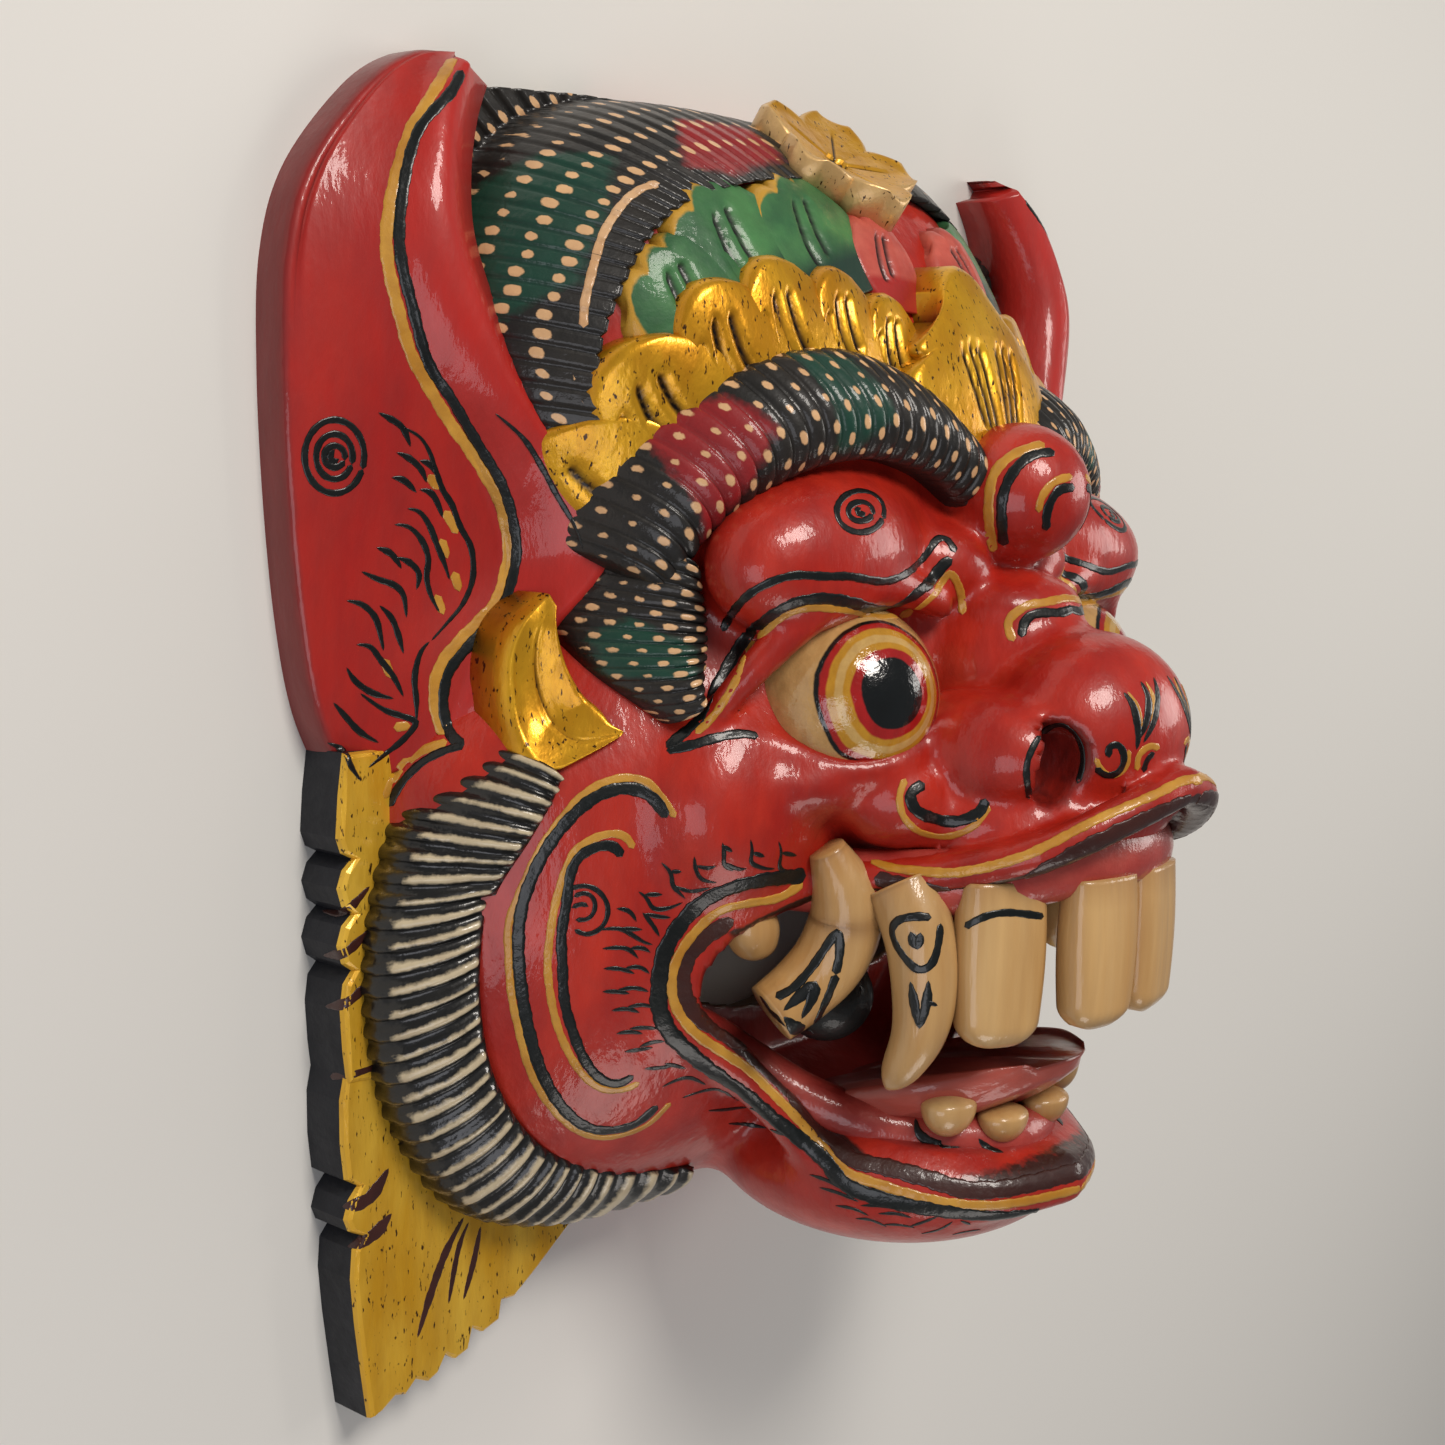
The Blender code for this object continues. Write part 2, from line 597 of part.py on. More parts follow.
def add_mirror_image(mesh, faces):
    """Adds the mirror image of the given faces across the middle of the mask."""
    made = {}
    for face in faces:
        corners = []
        for vert in face.verts:
            if vert not in made:
                made[vert] = mesh.verts.new((-vert.co.x, vert.co.y, vert.co.z))
            corners.append(made[vert])
        mesh.faces.new(list(reversed(corners)))


def piece_mesh(name, builders):
    """Mesh of all the given pieces. A builder marked True makes a left piece that has a right twin."""
    mesh = bmesh.new()
    for builder, paired in builders:
        made_before = set(mesh.verts)
        faces_before = set(mesh.faces)
        builder(mesh)
        if paired:
            add_mirror_image(mesh, [face for face in mesh.faces if face not in faces_before])
        if builder in settled_builders:
            for vert in mesh.verts:
                if vert not in made_before:
                    vert.co = settle(vert.co)
    bmesh.ops.recalc_face_normals(mesh, faces=mesh.faces[:])
    data = bpy.data.meshes.new(name)
    mesh.to_mesh(data)
    mesh.free()
    return data


def new_object(name, builders):
    made = bpy.data.objects.new(name, piece_mesh(name, builders))
    bpy.context.scene.collection.objects.link(made)
    return made


def as_guide(thing):
    thing.hide_render = True
    thing.display_type = "WIRE"
    return thing


def evaluated(thing):
    """The mesh of an object with its modifiers applied."""
    graph = bpy.context.evaluated_depsgraph_get()
    return bpy.data.meshes.new_from_object(thing.evaluated_get(graph))


def fused(name, data, grain):
    """One closed skin round all the overlapping pieces of a mesh."""
    lump = bpy.data.objects.new(name, data)
    bpy.context.scene.collection.objects.link(lump)
    step = lump.modifiers.new("fuse", "REMESH")
    step.mode = "VOXEL"
    step.voxel_size = grain
    result = evaluated(as_guide(lump))
    bpy.data.objects.remove(lump)
    return result


def cut(thing, cutter):
    step = thing.modifiers.new(cutter.name, "BOOLEAN")
    step.operation = "DIFFERENCE"
    step.object = as_guide(cutter)
    step.solver = "EXACT"


def count_triangles(data):
    data.calc_loop_triangles()
    return len(data.loop_triangles)


def middle_of(data):
    """Halfway point of the mesh along the mask."""
    ys = [vert.co.y for vert in data.vertices]
    return 0.5 * (min(ys) + max(ys))


def laid_flat(data):
    """Puts the points of the back, which may have drifted a little, exactly on the ground."""
    drift = 0.1 * grain
    for vert in data.vertices:
        if abs(vert.co.z) < drift:
            vert.co.z = 0.0
    return data


def painted_wood():
    material = bpy.data.materials.new("painted_wood")
    material.use_nodes = True
    shader = material.node_tree.nodes["Principled BSDF"]
    shader.inputs["Base Color"].default_value = (0.40, 0.020, 0.012, 1.0)
    shader.inputs["Roughness"].default_value = 0.35
    shader.inputs["Metallic"].default_value = 0.0
    return material


def add_back_cut(mesh):
    reach = 2.0 * crown_half_width
    square = [(-reach, -reach), (reach, -reach), (reach, reach), (-reach, reach)]
    add_layers(mesh, [square, square], (-10.0 * below_back, 0.0))


settled_builders = (add_dome, add_dome_hair, add_bands, add_petal_band, add_middle_ornament)


def make_mask():
    """Carves the face and opens its mouth, adds what stands on it, then hollows it from the back."""
    face = piece_mesh("face", [(add_dome, False), (add_ears, True), (add_lower_leaves, True), (add_nose, False),
                               (add_lips, False), (add_brow_and_eye, True), (add_nostril_wing, True)])
    opened = bpy.data.objects.new("opened", fused("face", face, grain))
    bpy.context.scene.collection.objects.link(opened)
    cut(opened, new_object("mouth_cutter", [(add_mouth_cutter, False)]))
    mesh = bmesh.new()
    mesh.from_mesh(evaluated(as_guide(opened)))
    carving = piece_mesh("carving", [(add_dome_hair, True), (add_bands, True), (add_fringe, True),
                                     (add_petal_band, True), (add_middle_ornament, False),
                                     (add_gums_and_teeth, False), (add_tongue, False), (add_tusks, True)])
    mesh.from_mesh(carving)
    whole = bpy.data.meshes.new("whole")
    mesh.to_mesh(whole)
    mesh.free()
    bpy.data.objects.remove(opened)
    block = bpy.data.objects.new("block", fused("whole", whole, grain))
    bpy.context.scene.collection.objects.link(block)
    cut(block, new_object("hollow", [(add_hollow, False)]))
    cut(block, new_object("back_cut", [(add_back_cut, False)]))
    mask = bpy.data.objects.new("mask", evaluated(as_guide(block)))
    bpy.context.scene.collection.objects.link(mask)
    bpy.data.objects.remove(block)
    thin = mask.modifiers.new("facets", "DECIMATE")
    thin.ratio = min(1.0, triangle_budget / count_triangles(mask.data))
    faceted = laid_flat(evaluated(mask))
    mask.modifiers.clear()
    mask.data = faceted
    mask.data.materials.clear()
    mask.data.materials.append(painted_wood())
    mask.location.y = -middle_of(faceted)
    return mask


clear_scene()
make_mask()
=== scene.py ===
# Painted and gilded kirtimukha mask, lying on its flat back with the face up
import math

import bpy
import numpy as np
from mathutils import Matrix, Vector
from mathutils.bvhtree import BVHTree


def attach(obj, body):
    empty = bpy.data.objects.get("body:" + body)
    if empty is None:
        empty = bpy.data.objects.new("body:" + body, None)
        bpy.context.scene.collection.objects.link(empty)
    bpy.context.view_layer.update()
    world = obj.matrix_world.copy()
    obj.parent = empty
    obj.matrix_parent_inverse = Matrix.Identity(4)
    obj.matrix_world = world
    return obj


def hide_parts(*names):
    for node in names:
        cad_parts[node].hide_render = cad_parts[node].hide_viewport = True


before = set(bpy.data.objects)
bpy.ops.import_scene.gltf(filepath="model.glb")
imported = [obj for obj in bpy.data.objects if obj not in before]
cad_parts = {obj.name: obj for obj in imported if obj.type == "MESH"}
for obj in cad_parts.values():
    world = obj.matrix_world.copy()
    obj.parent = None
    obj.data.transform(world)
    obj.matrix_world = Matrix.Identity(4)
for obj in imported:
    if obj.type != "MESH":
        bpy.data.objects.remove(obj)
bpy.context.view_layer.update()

# The carving is drawn about a point on the nose line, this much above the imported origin
originShift = 0.0041


def smoothStep(value):
    t = np.clip(value, 0.0, 1.0)
    return t * t * (3.0 - 2.0 * t)


def vec(*values):
    return np.array(values, dtype=float)


def mm(*values):
    # lengths given in millimetres
    return np.array(values) / 1000.0


def mm2(*values):
    return mm(*values).reshape(-1, 2)


def mm3(*values):
    return mm(*values).reshape(-1, 3)


def curveAt(points, shares):
    # smooth curve through the points, read at shares of its length in points
    pts = np.asarray(points, dtype=float)
    shares = np.asarray(shares, dtype=float)
    last = len(pts) - 1
    place = np.clip(shares, 0.0, 1.0) * last
    index = np.minimum(place.astype(int), last - 1)
    t = (place - index)[..., None]
    before = pts[np.maximum(index - 1, 0)]
    start = pts[index]
    end = pts[index + 1]
    after = pts[np.minimum(index + 2, last)]
    bend = (before - start * 2.5 + end * 2.0 - after * 0.5) * t * t
    twist = ((start - end) * 1.5 + (after - before) * 0.5) * t ** 3
    return start + (end - before) * 0.5 * t + bend + twist


def widthAt(widths, shares):
    return curveAt(np.reshape(widths, (-1, 1)), shares)[..., 0]


def unitRows(rows):
    return rows / np.linalg.norm(rows, axis=1)[:, None]


def shareGrid(rows, columns):
    # shares from root to tip as a column, and from the left side to the right one as a row
    return np.linspace(0.0, 1.0, rows)[:, None], np.linspace(-1.0, 1.0, columns)[None, :]


# Dome that carries the face

dome = {
    "cheekHalfWidth": 0.172, "templeHalfWidth": 0.137, "crownHalfWidth": 0.160,
    "cheekY": -0.010, "templeY": 0.050, "crownY": 0.140,
    "centreY": 0.035, "reachUp": 0.168, "reachDown": 0.191, "height": 0.108,
    "crownDrop": 0.020, "crownFall": 0.34,
}
hollow = {"halfWidth": 0.122, "centreY": 0.026, "reachUp": 0.150, "reachDown": 0.132,
          "height": 0.086, "squareness": 2.6}


def settle(points):
    # the hair right of the crown sits lower, so that the ear there stands clear of it
    pts = np.array(points, dtype=float)
    share = smoothStep((pts[..., 0] - 0.02) / 0.09) * smoothStep((pts[..., 1] - 0.06) / 0.12)
    pts[..., 1] -= dome["crownDrop"] * share
    pts[..., 2] *= 1.0 - dome["crownFall"] * share
    return pts


def domeHalfWidth(y):
    low = dome["cheekHalfWidth"] + (dome["templeHalfWidth"] - dome["cheekHalfWidth"]) * smoothStep(
        (y - dome["cheekY"]) / (dome["templeY"] - dome["cheekY"]))
    high = dome["templeHalfWidth"] + (dome["crownHalfWidth"] - dome["templeHalfWidth"]) * smoothStep(
        (y - dome["templeY"]) / (dome["crownY"] - dome["templeY"]))
    return np.where(y < dome["templeY"], low, high)


def domeRing(x, y):
    reach = np.where(y > dome["centreY"], dome["reachUp"], dome["reachDown"])
    return np.sqrt((x / domeHalfWidth(y)) ** 4 + ((y - dome["centreY"]) / reach) ** 4)


def domeTop(x, y):
    return dome["height"] * np.sqrt(np.maximum(0.0, 1.0 - domeRing(x, y)))


# Solid fields and the net that skins them, with some room round each form for its blend
edgeRoom = 0.004

def smoothMin(a, b, width):
    h = np.clip(0.5 + 0.5 * (b - a) / width, 0.0, 1.0)
    return b * (1.0 - h) + a * h - width * h * (1.0 - h)


class SolidField:
    # one half of a symmetric solid as distances on a grid, with x as the distance from the middle
    def __init__(self, low, high, step):
        self.step = step
        self.xs = (np.arange(int(high[0] / step)) + 0.5) * step
        self.ys = np.arange(low[1], high[1], step)
        self.zs = np.arange(low[2], high[2], step)
        self.values = np.full((len(self.xs), len(self.ys), len(self.zs)), 0.05, dtype=np.float32)

    def window(self, low, high):
        cuts = []
        for axis, a, b in zip((self.xs, self.ys, self.zs), low, high):
            cuts.append(slice(int(np.searchsorted(axis, a)), int(np.searchsorted(axis, b))))
        x = self.xs[cuts[0]][:, None, None]
        y = self.ys[cuts[1]][None, :, None]
        z = self.zs[cuts[2]][None, None, :]
        return tuple(cuts), x, y, z

    def merge(self, cuts, distance, width, remove=False):
        sign = -1.0 if remove else 1.0
        self.values[cuts] = sign * smoothMin(sign * self.values[cuts], distance, width)

    def ellipsoid(self, ovoid, width, lean=0.0, remove=False):
        # ovoid holds its middle and half sizes in millimetres
        centre, radii = mm3(*ovoid)
        reach = max(radii) + width + edgeRoom
        cuts, x, y, z = self.window(centre - reach, centre + reach)
        dx, dy, dz = x - centre[0], y - centre[1], z - centre[2]
        if lean:
            dx, dy = dx * math.cos(lean) + dy * math.sin(lean), dy * math.cos(lean) - dx * math.sin(lean)
        near = np.sqrt((dx / radii[0]) ** 2 + (dy / radii[1]) ** 2 + (dz / radii[2]) ** 2)
        slope = np.sqrt((dx / radii[0] ** 2) ** 2 + (dy / radii[1] ** 2) ** 2 + (dz / radii[2] ** 2) ** 2)
        self.merge(cuts, near * (near - 1.0) / np.maximum(slope, 1e-6), width, remove)

    def rope(self, points, radii, width):
        # chain of tapered capsules along a smooth curve
        shares = np.linspace(0.0, 1.0, 4 * (len(points) - 1) + 1)
        path = curveAt(points, shares)
        size = np.interp(shares, np.linspace(0.0, 1.0, len(radii)), radii)
        reach = max(radii) + width + edgeRoom
        cuts, x, y, z = self.window(path.min(axis=0) - reach, path.max(axis=0) + reach)
        best = np.full((x.size, y.size, z.size), 1.0, dtype=np.float32)
        for a, b, ra, rb in zip(path[:-1], path[1:], size[:-1], size[1:]):
            d = b - a
            h = ((x - a[0]) * d[0] + (y - a[1]) * d[1] + (z - a[2]) * d[2]) / max(d @ d, 1e-12)
            h = np.clip(h, 0.0, 1.0)
            gap = np.sqrt((x - a[0] - h * d[0]) ** 2 + (y - a[1] - h * d[1]) ** 2 + (z - a[2] - h * d[2]) ** 2)
            best = np.minimum(best, gap - (ra + (rb - ra) * h))
        self.merge(cuts, best, width)

    def skin(self):
        # surface net over both halves: one point for each cell that the surface crosses
        full = np.concatenate((self.values[::-1], self.values), axis=0)
        low = vec(-self.xs[-1], self.ys[0], self.zs[0])
        inside = full < 0.0
        corner = [(i, j, k) for i in (0, 1) for j in (0, 1) for k in (0, 1)]
        nx, ny, nz = full.shape
        some = np.zeros((nx - 1, ny - 1, nz - 1), dtype=bool)
        every = np.ones_like(some)
        for i, j, k in corner:
            part = inside[i:nx - 1 + i, j:ny - 1 + j, k:nz - 1 + k]
            some |= part
            every &= part
        cells = np.argwhere(some & ~every)
        number = np.full(some.shape, -1, dtype=np.int64)
        number[tuple(cells.T)] = np.arange(len(cells))
        levels = {c: full[cells[:, 0] + c[0], cells[:, 1] + c[1], cells[:, 2] + c[2]] for c in corner}
        total = np.zeros((len(cells), 3))
        count = np.zeros(len(cells))
        for a in corner:
            for axis in range(3):
                if a[axis]:
                    continue
                b = tuple(1 if n == axis else a[n] for n in range(3))
                crossed = (levels[a] < 0.0) != (levels[b] < 0.0)
                span = np.where(crossed, levels[a] - levels[b], 1.0)
                share = np.clip(levels[a] / span, 0.0, 1.0)
                for n in range(3):
                    total[:, n] += crossed * (share if n == axis else a[n])
                count += crossed
        points = low + (cells + total / count[:, None]) * self.step
        quads = []
        for axis in range(3):
            u, v = [n for n in range(3) if n != axis]
            shift = [0, 0, 0]
            shift[axis] = 1
            a = inside[:nx - shift[0], :ny - shift[1], :nz - shift[2]]
            b = inside[shift[0]:, shift[1]:, shift[2]:]
            edges = np.argwhere(a != b)
            flip = a[tuple(edges.T)]
            ring = []
            for du, dv in ((0, 0), (-1, 0), (-1, -1), (0, -1)):
                cell = edges.copy()
                cell[:, u] += du
                cell[:, v] += dv
                ring.append(cell)
            good = np.all([np.all((c >= 0) & (c < np.array(some.shape)), axis=1) for c in ring], axis=0)
            ids = np.stack([number[tuple(np.clip(c, 0, np.array(some.shape) - 1).T)] for c in ring], axis=1)
            turned = flip if axis != 1 else ~flip
            ids[turned] = ids[turned][:, ::-1]
            quads.append(ids[good])
        return points, np.concatenate(quads)


# Meshes and pieces

def buildMesh(name, points, quads, fields=None):
    mesh = bpy.data.meshes.new(name)
    points = np.array(points, dtype=float).reshape(-1, 3)
    points[:, 1] -= originShift
    mesh.vertices.add(len(points))
    mesh.vertices.foreach_set("co", points.astype(np.float32).ravel())
    mesh.loops.add(quads.size)
    mesh.loops.foreach_set("vertex_index", quads.astype(np.int32).ravel())
    mesh.polygons.add(len(quads))
    mesh.polygons.foreach_set("loop_start", np.arange(0, quads.size, quads.shape[1], dtype=np.int32))
    mesh.update(calc_edges=True)
    mesh.polygons.foreach_set("use_smooth", np.full(len(quads), True))
    for key, values in (fields or {}).items():
        layer = mesh.attributes.new(key, "FLOAT", "POINT")
        layer.data.foreach_set("value", np.asarray(values, dtype=np.float32).ravel())
    mesh.validate()
    return mesh


def addPiece(name, mesh, material):
    piece = bpy.data.objects.new(name, mesh)
    bpy.context.scene.collection.objects.link(piece)
    mesh.materials.append(material)
    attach(piece, "root")
    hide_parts("mask")


def gridQuads(rows, columns, start=0, closed=False):
    base = start + np.arange(rows)[:, None] * columns + np.arange(columns)[None, :]
    if closed:
        base = np.concatenate((base, base[:, :1]), axis=1)
    return np.stack((base[:-1, :-1], base[:-1, 1:], base[1:, 1:], base[1:, :-1]), axis=-1).reshape(-1, 4)


def shellMesh(name, top, under, fields=None, mirror=False, warp=True):
    # closed solid between two grids of points, as it is or as its twin on the right
    top = np.array(top, dtype=float)
    under = np.array(under, dtype=float)
    if mirror:
        top = top * vec(-1, 1, 1)
        under = under * vec(-1, 1, 1)
        if warp:
            top = settle(top)
            under = settle(under)
    rows, columns = top.shape[:2]
    count = rows * columns
    upper = gridQuads(rows, columns)
    lower = gridQuads(rows, columns, count)[:, ::-1]
    ids = np.arange(count).reshape(rows, columns)
    ring = np.concatenate((ids[0, :], ids[1:, -1], ids[-1, -2::-1], ids[-2:0:-1, 0]))
    following = np.roll(ring, -1)
    sides = np.stack((ring + count, following + count, following, ring), axis=-1)
    quads = np.concatenate((upper, lower, sides))
    doubled = {key: np.concatenate((np.ravel(v), np.ravel(v))) for key, v in (fields or {}).items()}
    points = np.concatenate((top.reshape(-1, 3), under.reshape(-1, 3)))
    # the grid may run either way round, so its faces are turned to look out
    a, b, c = points[upper[:, 0]], points[upper[:, 1]], points[upper[:, 2]]
    facing = np.cross(b - a, c - a)[:, 2].sum()
    if facing < 0.0:
        quads = quads[:, ::-1]
    return buildMesh(name, points, quads, doubled)


def pairOf(name, top, under, material, fields=None, warp=True):
    addPiece(name + "Left", shellMesh(name + "Left", top, under, fields), material)
    addPiece(name + "Right", shellMesh(name + "Right", top, under, fields, True, warp), material)


# Skins that painted lines may lie on, in the drawing frame, left half and middle
carriers = []


def carry(points, quads):
    start = sum(len(p) for p, _ in carriers)
    carriers.append((np.asarray(points).reshape(-1, 3), np.asarray(quads) + start))


def leftCarrier(top):
    rows, columns = top.shape[:2]
    carry(top, gridQuads(rows, columns))


print("carving the face")

grainSize = 0.0023
# The cut between the lips, seen from the front and from the middle outwards
mouth = {
    "edge": mm2(0, -36, 30, -36, 50, -39, 68, -41, 84, -45, 95, -52, 100.5, -60, 100.5, -67.5, 96, -74.5,
        86.5, -81.5, 77.5, -88, 68, -96.5, 58.5, -106.5, 50, -114.5, 40, -118.5, 22, -121, 0, -121),
    "middleY": -0.074, "taper": 0.78, "lowZ": 0.036, "fullZ": 0.072,
}
# The crests of the lips from the corner to the middle, and the brown paint between two turns round them
lips = {
    "upper": mm3(110, -56, 69, 102, -47, 74, 90, -41.5, 82, 70, -33, 100, 57.5, -30, 126, 42.5, -20.5, 157,
        21.5, -8.5, 174.5, 0, -2, 179.5),
    "lower": mm3(108, -55, 69.5, 108.5, -64.5, 68, 106.5, -72, 69, 100.5, -79.5, 71, 90.5, -87, 73, 81.5,
        -93.5, 75.5, 72.5, -102, 78, 63, -112.5, 82.5, 56.5, -122.5, 88.5, 50.5, -130, 102, 42, -133.5, 113,
        24, -134, 134, 0, -132.5, 144.5),
    "reach": 0.0092, "from": 0.30, "to": 2.3,
}


def lipPaint(x, y, z):
    # how far inside the brown paint a point lies, which covers each lip from its crest round to the cut
    best = np.full(x.shape, -1.0)
    where = np.flatnonzero((x < 0.125) & (y > -0.16) & (y < 0.03) & (z > 0.05))
    spots = np.stack((x[where], y[where], z[where]), axis=-1)
    for path in (lips["upper"], lips["lower"]):
        line = curveAt(path, np.linspace(0.0, 1.0, 90))
        along = unitRows(np.gradient(line, axis=0))
        rise = unitRows(vec(0, 0, 1) - along * along[:, 2:])
        inward = np.cross(along, rise)
        towards = vec(0.02, mouth["middleY"], 0) - line * vec(1, 1, 0)
        inward = inward * np.sign((towards * inward).sum(axis=1))[:, None]
        gaps = np.linalg.norm(spots[:, None, :] - line[None, :, :], axis=2)
        index = gaps.argmin(axis=1)
        aim = spots - line[index]
        turn = np.arctan2((aim * inward[index]).sum(axis=1), (aim * rise[index]).sum(axis=1))
        level = np.minimum(turn - lips["from"], lips["to"] - turn) * 0.006
        level = np.minimum(level, lips["reach"] - gaps.min(axis=1))
        best[where] = np.maximum(best[where], level)
    return best


def loopDistance(x, y, loop):
    # distance to a closed many-sided line, negative inside it
    x, y = np.broadcast_arrays(x, y)
    nearest = np.full(x.shape, 1.0)
    inside = np.zeros(x.shape, dtype=bool)
    for a, b in zip(loop, np.roll(loop, -1, axis=0)):
        d = b - a
        h = np.clip(((x - a[0]) * d[0] + (y - a[1]) * d[1]) / (d @ d), 0.0, 1.0)
        nearest = np.minimum(nearest, (x - a[0] - h * d[0]) ** 2 + (y - a[1] - h * d[1]) ** 2)
        if a[1] != b[1]:
            inside ^= ((a[1] > y) != (b[1] > y)) & (x < a[0] + (y - a[1]) / (b[1] - a[1]) * d[0])
    return np.where(inside, -1.0, 1.0) * np.sqrt(nearest)


def mouthDistance(x, y, z):
    # distance from the cut between the lips, which narrows towards the back, negative inside
    share = smoothStep((z - mouth["lowZ"]) / (mouth["fullZ"] - mouth["lowZ"]))
    scale = mouth["taper"] + (1.0 - mouth["taper"]) * share
    half = curveAt(mouth["edge"], np.linspace(0, 1, 49))
    loop = np.concatenate((half, half[-2:0:-1] * vec(-1, 1)))
    return loopDistance(np.abs(x) / scale, mouth["middleY"] + (y - mouth["middleY"]) / scale, loop) * scale


def bowlDistance(x, y, z):
    # distance from the hollow in the back, negative inside
    h = hollow
    reach = np.where(y > h["centreY"], h["reachUp"], h["reachDown"])
    n = h["squareness"]
    plan = (np.abs(x / h["halfWidth"]) ** n + np.abs((y - h["centreY"]) / reach) ** n) ** (2.0 / n)
    return plan + (np.maximum(z, 0.0) / h["height"]) ** 2 - 1.0


def evenDistance(values, step):
    slopes = np.gradient(values, step)
    size = np.sqrt(slopes[0] ** 2 + slopes[1] ** 2 + slopes[2] ** 2)
    return np.clip(values / np.maximum(size, 4.0), -0.05, 0.05)


# One nostril, as its middle and half sizes in millimetres
nostril = (33.5, 4.6, 154.5, 7.2, 12.2, 15)


def makeFaceField():
    field = SolidField((0.0, -0.168, -0.0055), (0.184, 0.213, 0.194), grainSize)
    x = field.xs[:, None, None]
    y = field.ys[None, :, None]
    z = field.zs[None, None, :]
    level = domeRing(x, y) + (np.maximum(z, 0.0) / dome["height"]) ** 2 - 1.0
    field.values[:] = evenDistance(level, field.step)
    # brow bulge with its knob, cheek, muzzle and jaw
    field.ellipsoid((68, 64, 91, 43, 25, 24.5), 0.006, lean=-0.12)
    field.ellipsoid((23, 61, 101, 18, 14, 19), 0.006)
    field.ellipsoid((85, -10, 82, 34, 30, 20), 0.012)
    field.ellipsoid((0, -14, 96, 61, 23, 75), 0.008)
    field.ellipsoid((0, -134, 80, 62, 30, 62), 0.010)
    # bridge of the nose, its curl, the ball on the forehead
    field.ellipsoid((0, 26, 112, 29, 34, 34), 0.008)
    field.ellipsoid((0, 48, 121, 23.5, 10.5, 16.5), 0.004)
    field.ellipsoid((0, 83, 118, 22.5, 22, 22.5), 0.004)
    # nose, wings and the apple of the cheek
    field.ellipsoid((0, 12, 147, 36, 30, 29.5), 0.006)
    field.ellipsoid((34, 6, 130, 18.5, 18.5, 29), 0.0035)
    field.ellipsoid((54, -8, 112, 17.5, 15.5, 18.5), 0.0035)
    # lids: a thin upper rim that runs out to a corner, and a soft lower one
    lidTop = mm3(112, 9, 80, 104, 21, 87, 95, 36, 96, 80, 50, 104, 62, 55, 108, 44, 53, 110, 32, 48, 112)
    field.rope(lidTop, mm(2, 4.2, 5.2, 5.8, 6, 5.6, 4), 0.003)
    field.ellipsoid((68, -3, 98, 27, 11, 17), 0.006)
    lidLow = mm3(112, 9, 80, 100, 9.5, 88, 88.5, 7.5, 97.5, 81.5, 3, 106.5, 73.5, 1.5, 114.5, 62, 4.5, 120,
        49, 11, 121.5, 37, 20, 120)
    field.rope(lidLow, mm(2, 3.2, 3.8, 4.2, 4.4, 4.2, 3.6, 3), 0.004)
    # rims of the lips
    field.rope(lips["upper"], mm(5.2, 5.6, 5.6, 5.6, 6, 6.2, 6.2, 6), 0.004)
    field.rope(lips["lower"], mm(5.2, 5.6, 5.8, 6, 6.2, 6.4, 6.6, 6.8, 7, 7.6, 8.2, 8.8, 8.8), 0.005)
    # nostrils
    field.ellipsoid(nostril, 0.0012, remove=True)
    # the cut between the lips, and the hollow
    low = int(np.argmax(field.zs > mouth["lowZ"] - edgeRoom))
    flat = mouthDistance(x, y, z[:, :, low:])
    depth = np.maximum(flat, mouth["lowZ"] + 0.003 - z[:, :, low:]).astype(np.float32)
    every = slice(None)
    field.merge((every, every, slice(low, None)), depth, 0.0022, remove=True)
    field.merge((every, every, every), evenDistance(bowlDistance(x, y, z), field.step), 0.003, remove=True)
    # flat back
    field.values = np.maximum(field.values, -z).astype(np.float32)
    return field


def soften(points, quads, passes=2):
    # evens out the steps of the net without shrinking it
    pairs = np.concatenate([quads[:, [i, (i + 1) % 4]] for i in range(4)])
    count = np.bincount(pairs.ravel(), minlength=len(points))[:, None]
    for factor in (0.45, -0.47) * passes:
        total = np.zeros_like(points)
        for n in range(3):
            total[:, n] = np.bincount(pairs[:, 0], points[pairs[:, 1], n], len(points))
            total[:, n] += np.bincount(pairs[:, 1], points[pairs[:, 0], n], len(points))
        points = points + factor * (total / count - points)
    return points


faceField = makeFaceField()
facePoints, faceQuads = faceField.skin()
facePoints = soften(facePoints, faceQuads)
facePoints[:, 2] = np.where(facePoints[:, 2] < 0.0011, 0.0, facePoints[:, 2])
px, py, pz = np.abs(facePoints[:, 0]), facePoints[:, 1], facePoints[:, 2]
bowlGap = bowlDistance(px, py, pz)
faceBare = np.clip(1.0 - np.abs(bowlGap) / 0.06, 0.0, 1.0) * (bowlGap < 0.08)
faceBare = np.maximum(faceBare, pz < 0.0012)
faceWall = np.clip(1.5 - np.abs(mouthDistance(px, py, pz)) / 0.0016, 0.0, 1.0) * (pz > mouth["lowZ"])
faceLip = lipPaint(px, py, pz)
nostrilMiddle, nostrilSize = mm3(*nostril)
nostrilGap = np.linalg.norm((np.stack((px, py, pz), axis=-1) - nostrilMiddle) / nostrilSize, axis=1)
carry(facePoints, faceQuads)
print("face quads", len(faceQuads))


print("making the paints")


def linear(hexColour):
    # sRGB to linear
    parts = [int(hexColour[i:i + 2], 16) / 255.0 for i in (1, 3, 5)]
    return [c / 12.92 if c <= 0.04045 else ((c + 0.055) / 1.055) ** 2.4 for c in parts] + [1.0]


def addNode(tree, kind, settings=None):
    # adds a node, whose settings go to its properties or sockets, and a socket of another node is linked
    node = tree.nodes.new(kind)
    for key, value in (settings or {}).items():
        if isinstance(value, bpy.types.NodeSocket):
            tree.links.new(value, node.inputs[key])
        elif isinstance(key, str) and hasattr(node, key) and key not in node.inputs:
            setattr(node, key, value)
        else:
            node.inputs[key].default_value = value
    return node


